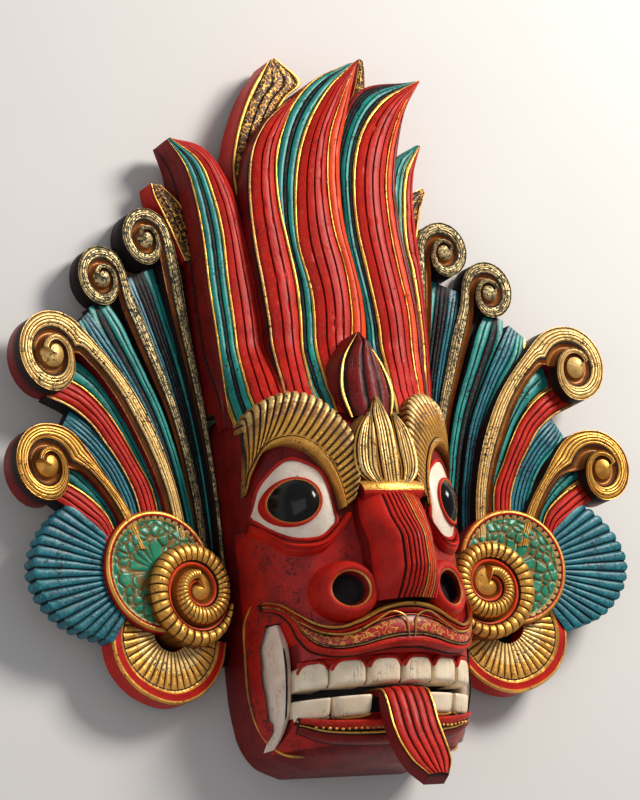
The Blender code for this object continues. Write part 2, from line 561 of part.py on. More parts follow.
def head_shell(inset=0.0, low=0.0):
    """The face form, or the same form inset for the hollow."""
    y = np.array([-74, -66, -58, -46, -35, -34, 24, 25, 60, 100, 150, 200, 250, 280, 300], float)
    angle = np.radians(np.linspace(-90, 90, 13))
    if inset:
        y = np.linspace(y[0] + 1.3 * inset, y[-1] - 1.6 * inset, 7)
        angle = np.radians(np.linspace(-90, 90, 9))
    drop = np.where((y >= MOUTH_Y[0]) & (y <= MOUTH_Y[1]), MOUTH_DROP, 0)
    front = smooth(HEAD_Y, HEAD_FRONT, y) - drop * (not inset)
    half = smooth(HEAD_Y, HEAD_WIDTH, y)
    if inset:
        front, half = front - MOUTH_DROP - inset, half - inset
    base = HEAD_BASE - inset
    x = half[:, None] * np.sin(angle)[None, :]
    z = base + (front - base)[:, None] * np.cos(angle)[None, :]
    top = np.stack([x, np.broadcast_to(y[:, None], x.shape), z], -1)
    return grid_shell(top, low)


def box(low, high):
    """A box between two corners."""
    outline = [(low[0], low[1]), (high[0], low[1]), (high[0], high[1]), (low[0], high[1])]
    return slab(outline, low[2], high[2])


def forehead_leaf():
    """Three fluted leaves over a rolled bar, and the red bud behind them."""
    shells = []
    for left, right in FOREHEAD_LEAF:
        plan = between([spline(left, 8), spline(right, 8)], np.linspace(0, 1, 5))
        lift = np.array([10, 16, 13, 16, 10])[None, :] + np.linspace(6, 14, 8)[:, None]
        shells.append(on_head(plan, lift, depth=30))
    edges = [[(-36, 194), (0, 197), (36, 194)], [(-32, 172), (0, 168), (32, 172)]]
    bar = between([spline(edge, 7) for edge in edges], [0, 0.25, 0.75, 1])
    shells.append(on_head(bar, np.array([12, 24, 24, 12])[None, :], depth=20))
    plan = between([spline(BUD_LEFT, 8), spline(BUD_RIGHT, 8)], np.linspace(0, 1, 5))
    height = np.linspace(*BUD_HEIGHT, 8)[:, None] + np.array([-10, 0, 4, 0, -10])[None, :]
    shells.append(grid_shell(with_height(plan, height), 20))
    return shells


def loft(path, half, thick, profile, normal_up, extra=0.0):
    """A bent slab along a path in the YZ plane; profile lifts the upper side."""
    line = np.asarray(path, float)
    tangent = np.gradient(line, axis=0)
    tangent /= np.linalg.norm(tangent, axis=1, keepdims=True)
    normal = np.stack([tangent[:, 1], -tangent[:, 0]], -1) * normal_up
    columns = np.linspace(-1, 1, len(profile))
    half = np.asarray(half, float)[:, None] + extra
    x = half * columns[None, :]
    upper = line[:, None, :] + normal[:, None, :] * (np.asarray(profile)[None, :, None] + extra)
    lower = line - normal * (thick + extra)
    n, m = x.shape
    top = np.stack([x, upper[..., 0], upper[..., 1]], -1)
    low = np.stack([x[:, [0, -1]], np.repeat(lower[:, :1], 2, 1), np.repeat(lower[:, 1:], 2, 1)], -1)
    shell = grid_shell(top, 0)
    shell.points[n * m:] = low.reshape(-1, 3)
    return shell


def tongue_shell(extra=0.0):
    """The fluted tongue that hangs out of the mouth gap."""
    path = spline(TONGUE_PATH, 13)
    share = np.interp(np.linspace(0, 1, 13), np.linspace(0, 1, len(TONGUE_SHARE)), TONGUE_SHARE)
    half = TONGUE_WIDTH / UNIT / 2 * share
    tab, body = MOUTH_GAP / UNIT - 2.4, TONGUE_THICKNESS / UNIT
    thick = np.interp(np.linspace(0, 1, 13), [0, 0.28, 0.45, 1], [tab, tab, body, body])
    profile = np.array([0, 1.5, 0, 1.5, 0, 1.5, 0, 1.5, 0])
    return loft(path, half, thick[:, None], profile * 0.8, 1.0, extra)


def tusk_shell(extra=0.0, lift_off=0.0):
    """A two-sided tusk with its own root, on the right-hand side."""
    line = spline([(x, y, z) for (x, y), z in zip(TUSK_PATH, TUSK_FRONT)], 9)
    share = np.interp(np.linspace(0, 1, 9), np.linspace(0, 1, len(TUSK_SHARE)), TUSK_SHARE)
    half = (TUSK_WIDTH / UNIT / 2 * share)[:, None] + extra
    columns = np.array([-1, -0.75, 0.2, 0.5, 1])
    lift = np.array([-6, -2, 0, -8, -34]) + extra
    x = line[:, :1] + half * columns[None, :]
    z = line[:, 2:] + lift[None, :] * np.clip(share, 0.4, 1)[:, None]
    y = np.broadcast_to(line[:, 1:2], x.shape).copy()
    y[0] += extra
    y[-1] -= extra
    top = np.stack([x, y, z + lift_off], -1)
    floor = np.maximum(z.min(axis=1, keepdims=True) - 6 - 2 * extra, 30 - 2 * extra)
    return grid_shell(top, np.broadcast_to(floor, (9, 2)))


def joint_cutter():
    """Everything beyond the right-hand joint line."""
    line = [(x - GAP, y) for x, y in JOINT_LINE]
    return slab([(500, -90), (500, 700), *reversed(line)], -30, 320)


def as_object(name, shell):
    """A mesh object of one shell with outward normals."""
    mesh = bpy.data.meshes.new(name)
    mesh.from_pydata([tuple(p) for p in shell.points], [], shell.faces)
    work = bmesh.new()
    work.from_mesh(mesh)
    bmesh.ops.triangulate(work, faces=work.faces)
    bmesh.ops.recalc_face_normals(work, faces=work.faces)
    work.to_mesh(mesh)
    work.free()
    item = bpy.data.objects.new(name, mesh)
    bpy.context.scene.collection.objects.link(item)
    return item


def carve(name, shells, cuts, slope=0.0, side=1, flat=0.5, colour=(0.5, 0.05, 0.03)):
    """One solid piece: the shells joined, the cuts taken away, the back sloped, in metres."""
    piece = as_object(name, shells[0])
    groups = []
    for word, mode, members in (("joined", "UNION", shells[1:]), ("cut", "DIFFERENCE", cuts)):
        if not members:
            continue
        group = bpy.data.collections.new(f"{name}_{word}")
        for k, shell in enumerate(members):
            item = as_object(f"{name}_{word}_{k}", shell)
            group.objects.link(item)
        groups.append(group)
        step = piece.modifiers.new(word, "BOOLEAN")
        step.operation = mode
        step.solver = "EXACT"
        step.operand_type = "COLLECTION"
        step.collection = group
    bpy.context.view_layer.update()
    graph = bpy.context.evaluated_depsgraph_get()
    mesh = bpy.data.meshes.new_from_object(piece.evaluated_get(graph))
    for group in groups:
        for item in list(group.objects):
            bpy.data.objects.remove(item)
        bpy.data.collections.remove(group)
    work = bmesh.new()
    work.from_mesh(mesh)
    for vert in work.verts:
        x, y, z = vert.co
        z += slope * max(x - WING_ROOT, 0.0)
        vert.co = (side * x * UNIT, (y - ORIGIN_Y) * UNIT, z * UNIT)
    bmesh.ops.remove_doubles(work, verts=work.verts, dist=WELD)
    bmesh.ops.dissolve_limit(work, angle_limit=math.radians(flat), verts=work.verts, edges=work.edges)
    bmesh.ops.triangulate(work, faces=work.faces)
    bmesh.ops.recalc_face_normals(work, faces=work.faces)
    work.to_mesh(mesh)
    work.free()
    piece.modifiers.clear()
    piece.data = mesh
    mesh.name = name
    material = bpy.data.materials.new(name)
    material.use_nodes = True
    surface = material.node_tree.nodes["Principled BSDF"]
    surface.inputs["Base Color"].default_value = (*colour, 1)
    surface.inputs["Roughness"].default_value = 0.45
    mesh.materials.clear()
    mesh.materials.append(material)
    print(name, len(mesh.polygons), "triangles")
    return piece


def main():
    """Build the six pieces."""
    for item in list(bpy.data.objects):
        bpy.data.objects.remove(item)
    for side, word in ((-1, "left"), (1, "right")):
        carve(f"{word}_wing", wing_shells(), [], slope=WING_SLOPE, side=side, flat=2.0,
              colour=(0.62, 0.42, 0.12))
    body, nostril = nose()
    brow_shell = brow()
    shells = [head_shell(), body, nostril, nostril.mirrored(), brow_shell, brow_shell.mirrored()]
    for part in eye():
        shells += [part, part.mirrored()]
    shells += lips() + forehead_leaf()
    for span in UPPER_TEETH:
        shells += [tooth(span, *UPPER_TOOTH), tooth(span, *UPPER_TOOTH).mirrored()]
    for span in LOWER_TEETH:
        shells += [tooth(span, *LOWER_TOOTH), tooth(span, *LOWER_TOOTH).mirrored()]
    shells += [flame(spec) for spec in FLAMES]
    for left, right, floor, top in BACK_LEAVES:
        plan = between([spline(left, 8), spline(right, 8)], np.linspace(0, 1, 5))
        height = top + np.array([-3, 0, -2, 0, -3])[None, :]
        shells.append(grid_shell(with_height(plan, height), floor))
    half_gap = MOUTH_GAP / UNIT / 2
    tusk_cut = tusk_shell(TUSK_CLEARANCE / UNIT, 90)
    pocket = slab(CHEEK_POCKET, POCKET_FLOOR, 240)
    gap = box((-MOUTH_HALF, MOUTH_MIDDLE - half_gap, 40), (MOUTH_HALF, MOUTH_MIDDLE + half_gap, 230))
    hole = nostril_hole()
    cuts = [head_shell(WALL / UNIT, -20), gap, hole, hole.mirrored(), tongue_shell(GAP),
            tusk_cut, tusk_cut.mirrored(), pocket, pocket.mirrored(),
            joint_cutter(), joint_cutter().mirrored()]
    carve("face_block", shells, cuts, flat=FLAT_ANGLE, colour=(0.55, 0.05, 0.03))
    carve("tongue", [tongue_shell()], [], colour=(0.6, 0.08, 0.05))
    tusk = tusk_shell()
    carve("right_tusk", [tusk], [], colour=(0.8, 0.72, 0.6))
    carve("left_tusk", [tusk.mirrored()], [], colour=(0.8, 0.72, 0.6))


if __name__ == "__main__":
    main()
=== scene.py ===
"""Looks of a carved and painted naga raksha mask that lies on its back.

The forms repeat the carved solids at fine density. Outlines are in the mask's own units, 784 to its
length from the tip of the tongue to the tip of the crest, and the scale comes from the loaded frame.
"""

import logging
import math
from dataclasses import dataclass
from enum import IntEnum
from typing import Callable, Iterable, Sequence

import bmesh
import bpy
import numpy as np
from mathutils import Matrix, Vector


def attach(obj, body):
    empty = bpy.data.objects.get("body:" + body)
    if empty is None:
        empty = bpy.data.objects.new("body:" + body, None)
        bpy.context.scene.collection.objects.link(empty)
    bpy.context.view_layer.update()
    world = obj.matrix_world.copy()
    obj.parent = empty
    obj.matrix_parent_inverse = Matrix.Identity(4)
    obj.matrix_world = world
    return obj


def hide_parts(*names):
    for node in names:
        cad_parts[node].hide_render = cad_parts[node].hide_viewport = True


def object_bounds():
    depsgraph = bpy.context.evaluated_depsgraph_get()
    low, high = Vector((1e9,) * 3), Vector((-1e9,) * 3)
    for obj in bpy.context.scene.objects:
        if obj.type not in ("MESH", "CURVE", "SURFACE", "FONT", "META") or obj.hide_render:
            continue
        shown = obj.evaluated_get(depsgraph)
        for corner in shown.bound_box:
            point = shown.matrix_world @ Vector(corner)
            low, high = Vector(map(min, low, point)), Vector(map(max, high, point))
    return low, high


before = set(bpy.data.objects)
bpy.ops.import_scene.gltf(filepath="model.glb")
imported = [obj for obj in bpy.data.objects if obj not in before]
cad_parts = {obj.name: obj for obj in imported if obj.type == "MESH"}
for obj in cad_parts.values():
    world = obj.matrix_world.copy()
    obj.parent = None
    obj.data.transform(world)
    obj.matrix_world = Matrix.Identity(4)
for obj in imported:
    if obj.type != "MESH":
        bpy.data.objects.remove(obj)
CAD_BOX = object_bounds()

LOG = logging.getLogger("mask")
MASK_UNITS = 784.16
ORIGIN_Y = 330
UNIT = float(CAD_BOX[1][1] - CAD_BOX[0][1]) / MASK_UNITS
WING_ROOT = 119
WING_SLOPE = 0.1
SHARP_ANGLE = 42.0

Colour = tuple[float, float, float]
Plan = Sequence[tuple[float, float]]
Array = np.ndarray
Item = bpy.types.Object
Tree = bpy.types.NodeTree


class Paint(IntEnum):
    """Paints of the mask; the value is the material slot on every carving."""

    RED = 0
    DEEP_RED = 1
    ORANGE = 2
    GOLD = 3
    OLD_GOLD = 4
    SILVER = 5
    CREAM_GOLD = 6
    AMBER = 7
    TEAL = 8
    BLUE = 9
    GREEN = 10
    DARK = 11
    IVORY = 12
    TUSK = 13
    BLACK = 14
    WOOD = 15
    LIP_RELIEF = 16
    LEAF_RELIEF = 17
    EYE_WHITE = 18
    CHEEK = 19


def socket(node: bpy.types.Node, name: str) -> bpy.types.NodeSocket:
    """The first enabled input of a node with this name."""
    return next(item for item in node.inputs if item.name == name and item.enabled)


class Wiring:
    """A small helper that adds and joins nodes in one tree."""

    def __init__(self, tree: Tree) -> None:
        """Keep the tree that the nodes go into."""
        self.tree = tree

    def add(self, kind: str, out: int | str = 0, settings: dict | None = None, **inputs: object) -> object:
        """Add a node.

        Args:
            kind: its type name.
            out: name or number of the output that is handed back.
            settings: its properties, such as its operation.
            **inputs: values or sockets by input name with _ for a space, or iN for input number N.

        Returns:
            That output, or the node itself where it has none.
        """
        node = self.tree.nodes.new(kind)
        for key, value in (settings or {}).items():
            setattr(node, key, value)
        for key, value in inputs.items():
            target = node.inputs[int(key[1:])] if key[1:].isdigit() else socket(node, key.replace("_", " "))
            if isinstance(value, bpy.types.NodeSocket):
                self.tree.links.new(value, target)
            else:
                target.default_value = value
        if not node.outputs:
            return node
        if isinstance(out, int):
            return [item for item in node.outputs if item.enabled][out]
        return node.outputs[out]

    def math(self, operation: str, *values: object) -> object:
        """A Math node's result."""
        return self.add("ShaderNodeMath", settings={"operation": operation}, **{f"i{k}": value for k, value
            in enumerate(values)})

    def vector(self, operation: str, out: int, *values: object) -> object:
        """A Vector Math node's result."""
        return self.add("ShaderNodeVectorMath", out, settings={"operation": operation}, **{f"i{k}": value
            for k, value in enumerate(values)})

    def ramp(self, value: object, low: float, high: float, start: float = 0.0, end: float = 1.0) -> object:
        """A value eased from start to end while the input goes from low to high."""
        return self.add("ShaderNodeMapRange", settings={"interpolation_type": "SMOOTHSTEP"}, Value=value,
            From_Min=low, From_Max=high, To_Min=start, To_Max=end)

    def noise(self, place: object, scale: float, detail: float = 3.0, rough: float = 0.6) -> object:
        """A cloudy value around 0.5."""
        return self.add("ShaderNodeTexNoise", Vector=place, Scale=scale, Detail=detail, Roughness=rough)

    def mix(self, share: object, first: object, second: object) -> object:
        """A blend of two colours."""
        return self.add("ShaderNodeMix", settings={"data_type": "RGBA"}, i0=share, i6=first, i7=second)


def new_tree(name: str, kind: str, inputs: Iterable[tuple], outputs: Iterable[tuple]) -> tuple:
    """Start a node tree with named inputs and outputs.

    Args:
        name: its name.
        kind: Shader or Geometry.
        inputs: name, kind and default of each.
        outputs: name and kind of each.

    Returns:
        The tree, its wiring helper and its input sockets.
    """
    tree = bpy.data.node_groups.new(name, f"{kind}NodeTree")
    for word, kind_of, default in inputs:
        item = tree.interface.new_socket(name=word, in_out="INPUT", socket_type="NodeSocket" + kind_of)
        if default is not None:
            item.default_value = default
    for word, kind_of in outputs:
        tree.interface.new_socket(name=word, in_out="OUTPUT", socket_type="NodeSocket" + kind_of)
    return tree, Wiring(tree), tree.nodes.new("NodeGroupInput").outputs


def old_paint_group() -> Tree:
    """Hand-laid paint on wood: blotches, streaks, flecks, cracks, grime and dark underpaint with painted
    shade in the grooves, and scuffed ridges paled further by a painted highlight.

    Returns:
        The shader group with Color, Leaf, Roughness and Height outputs.
    """
    colour, number = "Color", "Float"
    tree, wire, given = new_tree("old_paint", "Shader", [("Place", "Vector", None), ("Strip",
        "Vector", None), ("Paint", colour, None), ("Shade", colour, None), ("Under", colour,
        None), ("Worn_And_Highlight", colour, None), ("Groove", number, 0.0), ("Ridge", number, 0.0), ("Blotch", number,
        0.5), ("Streak", number, 0.4), ("Fleck", number, 0.2), ("Crack", number, 0.3), ("Wear_And_Highlight", number,
        0.3), ("Vein", number, 0.0), ("Rough", number, 0.4)], [("Color", colour), ("Leaf", number),
        ("Roughness", number), ("Height", number)])
    place, strip = given["Place"], given["Strip"]
    blotch = wire.ramp(wire.noise(place, 70, 4), 0.35, 0.68)
    stretched = wire.vector("MULTIPLY", 0, strip, (1500, 45, 1))
    streak = wire.noise(stretched, 1.0, 3, 0.65)
    streak_mask = wire.ramp(streak, 0.5, 0.68)
    missing = wire.math("MULTIPLY_ADD", given["Fleck"], 0.22, wire.noise(place, 430, 4, 0.75))
    fleck = wire.ramp(missing, 0.7, 0.73)
    patch = wire.ramp(wire.noise(place, 55, 3), 0.42, 0.62)
    long_lines = wire.noise(wire.vector("MULTIPLY", 0, strip, (420, 16, 1)), 1.0, 4, 0.6)
    near_line = wire.math("ABSOLUTE", wire.math("SUBTRACT", long_lines, 0.5))
    crack = wire.math("MULTIPLY", wire.ramp(near_line, 0.0, 0.012, 1.0, 0.0), patch)
    crack = wire.math("MULTIPLY", crack, given["Crack"])
    base = wire.mix(wire.math("MULTIPLY", blotch, given["Blotch"]), given["Paint"], given["Shade"])
    base = wire.mix(wire.math("MULTIPLY", streak_mask, given["Streak"]), base, given["Shade"])
    squiggle = wire.noise(wire.vector("ADD", 0, place, (3.1, 7.7, 1.3)), 250, 1.5, 0.5)
    bend = wire.math("ABSOLUTE", wire.math("SUBTRACT", squiggle, 0.5))
    vein = wire.math("MULTIPLY", wire.ramp(bend, 0.022, 0.05, 1.0, 0.0), given["Vein"])
    base = wire.mix(vein, base, given["Worn_And_Highlight"])
    torn = wire.noise(place, 480, 4, 0.7)
    # Grooves darken to the under colour: grime and dark underpaint in the valleys, and also painted shade
    # there.
    dirt_and_groove_shade = wire.math("MULTIPLY", wire.ramp(given["Groove"], 0.25, 0.75), wire.ramp(torn, 0.25, 0.42))
    leaf = wire.math("MULTIPLY", fleck, wire.math("MAXIMUM", patch, wire.ramp(given["Fleck"], 0.6, 1.0)))
    paint_gone_and_groove_shade = wire.math("MAXIMUM", wire.math("MAXIMUM", leaf, dirt_and_groove_shade), crack)
    # Ridge tops pale towards the pale ridge colour: scuffed paint, and also a painted highlight on the
    # raised parts.
    rubbed_and_ridge_highlight = wire.math("MULTIPLY", wire.ramp(torn, 0.52, 0.64), given["Wear_And_Highlight"])
    rubbed_and_ridge_highlight = wire.math("MULTIPLY", rubbed_and_ridge_highlight, wire.ramp(given["Ridge"], 0.3, 0.9))
    base = wire.mix(rubbed_and_ridge_highlight, base, given["Worn_And_Highlight"])
    base = wire.mix(wire.math("MINIMUM", paint_gone_and_groove_shade, 1.0), base, given["Under"])
    rough = wire.math("ADD", given["Rough"], wire.math("MULTIPLY", paint_gone_and_groove_shade, 0.3))
    rough = wire.math("ADD", rough, wire.math("MULTIPLY", wire.math("SUBTRACT", torn, 0.5), 0.25))
    height = wire.math("MULTIPLY_ADD", streak, 0.45, wire.math("MULTIPLY", torn, 0.25))
    height = wire.math("SUBTRACT", height, wire.math("MULTIPLY", paint_gone_and_groove_shade, 0.7))
    height = wire.math("MULTIPLY_ADD", vein, 0.8, height)
    leaf = wire.math("SUBTRACT", 1.0, wire.math("MINIMUM", paint_gone_and_groove_shade, 1.0))
    wire.add("NodeGroupOutput", Color=base, Leaf=leaf, Roughness=rough, Height=height)
    return tree


@dataclass(frozen=True)
class Finish:
    """One paint: its colours and how scuffed, flecked, streaked and glossy it is; its pale ridge colour is
    also a painted highlight, and its under colour in the grooves also painted shade.
    """

    paint: Colour
    shade: Colour
    # Dark underpaint shown by flecks and cracks; in the grooves it also gives painted shade.
    under: Colour = (0.012, 0.008, 0.007)
    # Pale colour of scuffed ridges and of the veins; on the ridges it is also a painted highlight.
    worn_and_highlight: Colour = (0.62, 0.22, 0.06)
    rough: float = 0.4
    metallic: float = 0.0
    coat: float = 0.12
    blotch: float = 0.6
    streak: float = 0.5
    fleck: float = 0.35
    crack: float = 0.5
    # How strongly the ridge tops pale: scuffing and a painted highlight.
    wear_and_highlight: float = 0.25
    vein: float = 0.0
    bump: float = 0.55
    shine: float = 0.35

    def material(self, name: str, group: Tree) -> bpy.types.Material:
        """Build the material.

        Args:
            name: its name.
            group: the shared old paint group.

        Returns:
            A Principled material that reads the carving's attributes.
        """
        made = bpy.data.materials.new(name)
        made.use_nodes = True
        tree = made.node_tree
        wire = Wiring(tree)
        node = tree.nodes.new("ShaderNodeGroup")
        node.node_tree = group
        coordinates = tree.nodes.new("ShaderNodeTexCoord")
        tree.links.new(coordinates.outputs["Object"], node.inputs["Place"])
        for word, out in (("strip", "Vector"), ("groove", "Fac"), ("ridge", "Fac")):
            read = wire.add("ShaderNodeAttribute", out, {"attribute_name": word})
            tree.links.new(read, node.inputs[word.title()])
        for word in ("paint", "shade", "under", "worn_and_highlight"):
            node.inputs[word.title()].default_value = (*getattr(self, word), 1.0)
        for word in ("blotch", "streak", "fleck", "crack", "wear_and_highlight", "vein", "rough"):
            node.inputs[word.title()].default_value = getattr(self, word)
        surface = tree.nodes["Principled BSDF"]
        tree.links.new(node.outputs["Color"], surface.inputs["Base Color"])
        tree.links.new(node.outputs["Roughness"], surface.inputs["Roughness"])
        if self.metallic:
            tree.links.new(wire.math("MULTIPLY", node.outputs["Leaf"], self.metallic),
                surface.inputs["Metallic"])
        surface.inputs["Coat Weight"].default_value = self.coat
        surface.inputs["Coat Roughness"].default_value = 0.25
        surface.inputs["Specular IOR Level"].default_value = self.shine
        normal = wire.add("ShaderNodeBump", Strength=self.bump, Distance=0.0006,
            Height=node.outputs["Height"])
        tree.links.new(normal, surface.inputs["Normal"])
        return made


FINISHES: dict[Paint, Finish] = {
    Paint.RED: Finish((0.56, 0.014, 0.006), (0.32, 0.006, 0.004), streak=0.45, wear_and_highlight=0.15, coat=0.04,
        rough=0.44, shine=0.18),
    Paint.DEEP_RED: Finish((0.21, 0.006, 0.005), (0.085, 0.003, 0.004), worn_and_highlight=(0.5, 0.05, 0.02), coat=0.05,
        crack=0.9, shine=0.2),
    Paint.ORANGE: Finish((0.8, 0.075, 0.01), (0.6, 0.026, 0.008), wear_and_highlight=0.1, coat=0.05, rough=0.42,
        shine=0.2),
    Paint.GOLD: Finish((0.8, 0.42, 0.075), (0.5, 0.2, 0.028), worn_and_highlight=(0.95, 0.62, 0.2), metallic=0.62,
        rough=0.34, coat=0.0, streak=0.4, fleck=0.5, shine=0.5),
    Paint.OLD_GOLD: Finish((0.62, 0.31, 0.065), (0.26, 0.1, 0.03), worn_and_highlight=(0.66, 0.48, 0.36), metallic=0.5,
        rough=0.42, coat=0.0, fleck=0.7, wear_and_highlight=0.6, shine=0.5),
    Paint.SILVER: Finish((0.78, 0.6, 0.28), (0.34, 0.23, 0.1), under=(0.02, 0.024, 0.022), worn_and_highlight=(0.8,
        0.68, 0.42), metallic=0.55, rough=0.38, coat=0.0, fleck=0.92, shine=0.5),
    Paint.CREAM_GOLD: Finish((0.88, 0.58, 0.2), (0.6, 0.32, 0.08), worn_and_highlight=(0.95, 0.78, 0.48), metallic=0.45,
        rough=0.38, coat=0.0, fleck=0.72, wear_and_highlight=0.5, shine=0.5),
    Paint.AMBER: Finish((0.3, 0.1, 0.012), (0.1, 0.03, 0.006), metallic=0.35, rough=0.36, coat=0.0,
        fleck=0.3),
    Paint.TEAL: Finish((0.004, 0.27, 0.225), (0.003, 0.11, 0.115), worn_and_highlight=(0.06, 0.46, 0.38), fleck=0.62),
    Paint.BLUE: Finish((0.004, 0.15, 0.19), (0.004, 0.04, 0.075), worn_and_highlight=(0.03, 0.34, 0.34), fleck=0.66,
        wear_and_highlight=0.6, streak=0.7),
    Paint.GREEN: Finish((0.004, 0.27, 0.145), (0.003, 0.12, 0.075), under=(0.2, 0.115, 0.022), worn_and_highlight=(0.5,
        0.34, 0.09), fleck=0.5, wear_and_highlight=0.35, coat=0.3, rough=0.3),
    Paint.DARK: Finish((0.01, 0.015, 0.015), (0.04, 0.008, 0.012), worn_and_highlight=(0.02, 0.16, 0.15), wear_and_highlight=0.5,
        coat=0.0, rough=0.5, shine=0.12),
    Paint.IVORY: Finish((0.95, 0.82, 0.6), (0.76, 0.56, 0.36), under=(0.07, 0.03, 0.018), streak=0.45,
        fleck=0.35, crack=1.0, wear_and_highlight=0.0, coat=0.2),
    Paint.TUSK: Finish((0.9, 0.74, 0.6), (0.66, 0.46, 0.36), under=(0.16, 0.07, 0.05), streak=0.6,
        fleck=0.3, crack=1.0, wear_and_highlight=0.0),
    Paint.BLACK: Finish((0.003, 0.003, 0.003), (0.006, 0.005, 0.005), under=(0.02, 0.018, 0.018),
        worn_and_highlight=(0.03, 0.02, 0.02), rough=0.12, coat=0.1, streak=0.1, fleck=0.1, crack=0.0, bump=0.08,
        shine=0.25),
    Paint.WOOD: Finish((0.3, 0.185, 0.095), (0.185, 0.1, 0.05), under=(0.07, 0.035, 0.018), worn_and_highlight=(0.4,
        0.27, 0.15), rough=0.66, coat=0.0, streak=0.9, crack=0.7),
    Paint.LIP_RELIEF: Finish((0.44, 0.018, 0.01), (0.26, 0.008, 0.006), worn_and_highlight=(0.66, 0.3, 0.045),
        vein=0.95, coat=0.25),
    Paint.LEAF_RELIEF: Finish((0.06, 0.026, 0.012), (0.03, 0.014, 0.01), worn_and_highlight=(0.6, 0.3, 0.06),
        vein=1.0, metallic=0.4, fleck=0.4, coat=0.0),
    Paint.EYE_WHITE: Finish((0.86, 0.76, 0.62), (0.7, 0.52, 0.38), under=(0.2, 0.1, 0.06), fleck=0.25,
        crack=0.3, wear_and_highlight=0.0, streak=0.15, coat=0.3),
    Paint.CHEEK: Finish((0.48, 0.012, 0.006), (0.2, 0.005, 0.005), under=(0.05, 0.012, 0.01), worn_and_highlight=(0.72,
        0.42, 0.3), fleck=0.68, wear_and_highlight=0.55, crack=0.9, coat=0.08, shine=0.25),
}


class Palette:
    """All materials of the mask, built once."""

    def __init__(self) -> None:
        """Build the shared group and one material for each paint."""
        group = old_paint_group()
        self.materials = [FINISHES[paint].material(f"{paint.name.lower()}_paint", group) for paint in Paint]

    def __getitem__(self, paint: Paint) -> bpy.types.Material:
        """The material of one paint."""
        return self.materials[paint]


def dress_tree(tree: Tree, wire: Wiring, geometry: object, palette: Palette) -> None:
    """End a modifier tree: real geometry, and each face's own paint.

    Args:
        tree: the modifier tree.
        wire: its wiring helper.
        geometry: the geometry so far.
        palette: the materials.
    """
    geometry = wire.add("GeometryNodeRealizeInstances", i0=geometry)
    paint = wire.add("GeometryNodeInputNamedAttribute", settings={"data_type": "INT"}, Name="paint")
    for index, material in enumerate(palette.materials):
        chosen = wire.add("FunctionNodeCompare", settings={"data_type": "INT", "operation": "EQUAL"},
            i2=paint, i3=index)
        geometry = wire.add("GeometryNodeSetMaterial", Geometry=geometry, Selection=chosen,
            Material=material)
    out = tree.nodes.new("NodeGroupOutput")
    tree.links.new(geometry, out.inputs[0])


def flute_tree(palette: Palette) -> Tree:
    """Cuts the flutes of a carving: a valley wherever its phase passes a whole number.

    Args:
        palette: the materials.

    Returns:
        The tree with Wander, Width, Rounding, Grain, Hammer and Seed inputs.
    """
    number = "Float"
    tree, wire, given = new_tree("carved_flutes", "Geometry", [("Geometry", "Geometry", None),
        ("Wander", number, 0.1), ("Width", number, 0.2), ("Rounding", number, 0.35), ("Grain", number,
        0.00012), ("Hammer", number, 0.0012), ("Seed", number, 1.0)], [("Geometry", "Geometry")])

    def read(name: str) -> object:
        """A named attribute of the carving."""
        return wire.add("GeometryNodeInputNamedAttribute", settings={"data_type": "FLOAT"}, Name=name)

    place = wire.add("GeometryNodeInputPosition")
    shift = wire.vector("ADD", 0, place, given["Seed"])
    sway = wire.math("SUBTRACT", wire.noise(shift, 60, 1), 0.5)
    phase = wire.math("MULTIPLY_ADD", sway, given["Wander"], read("phase"))
    apart = wire.math("ABSOLUTE", wire.math("SUBTRACT", phase, wire.math("ROUND", phase)))
    groove = wire.add("ShaderNodeMapRange", settings={"interpolation_type": "SMOOTHSTEP"}, Value=apart,
        From_Min=0.02, From_Max=given["Width"], To_Min=1.0, To_Max=0.0)
    vault = wire.math("POWER", wire.math("SUBTRACT", 1.0, wire.math("MULTIPLY", apart, 2.0)), 2.0)
    unevenness = wire.math("ADD", 0.55, wire.math("MULTIPLY", wire.noise(shift, 110, 2), 0.9))
    profile = wire.math("ADD", wire.math("MULTIPLY", groove, wire.math("SUBTRACT", 1.0, given["Rounding"])),
        wire.math("MULTIPLY", vault, given["Rounding"]))
    deep = read("flute")
    depth = wire.math("MULTIPLY", wire.math("MULTIPLY", profile, deep), unevenness)
    hammer = read("hammer")
    cells = wire.add("ShaderNodeTexVoronoi", settings={"feature": "DISTANCE_TO_EDGE"}, Vector=shift,
        Scale=165.0)
    chip = wire.ramp(cells, 0.0, 0.16, 1.0, 0.0)
    depth = wire.math("ADD", depth, wire.math("MULTIPLY", wire.math("MULTIPLY", chip, hammer),
        given["Hammer"]))
    grain = wire.math("MULTIPLY", wire.math("SUBTRACT", wire.noise(shift, 300, 2), 0.5), given["Grain"])
    depth = wire.math("ADD", depth, grain)
    inward = wire.math("MULTIPLY", depth, -1.0)
    offset = wire.vector("SCALE", 0, wire.add("GeometryNodeInputNormal"))
    offset.node.inputs["Scale"].default_value = 0.0
    tree.links.new(inward, offset.node.inputs["Scale"])
    # Valley mask, stored as groove: the paint darkens the valleys with it, grime and underpaint and also
    # painted shade; hammered scale edges join it.
    dark = wire.math("MULTIPLY", groove, wire.math("MINIMUM", wire.math("DIVIDE", deep, 0.0005), 1.0))
    dark = wire.math("MAXIMUM", dark, wire.math("MULTIPLY", chip, hammer))
    fluted = wire.math("GREATER_THAN", wire.math("ADD", deep, hammer), 0.00001)
    # Ridge mask: the paint pales the ridge tops with it, scuffing and also a painted highlight.
    ridge = wire.math("MULTIPLY", fluted, wire.math("SUBTRACT", 1.0, wire.math("MAXIMUM", vault, dark)))
    geometry = given["Geometry"]
    for name, value in (("groove", dark), ("ridge", ridge)):
        geometry = wire.add("GeometryNodeStoreNamedAttribute", settings={"data_type": "FLOAT"},
            Geometry=geometry, Name=name, Value=value)
    geometry = wire.add("GeometryNodeSetPosition", Geometry=geometry, Offset=offset)
    dress_tree(tree, wire, geometry, palette)
    return tree


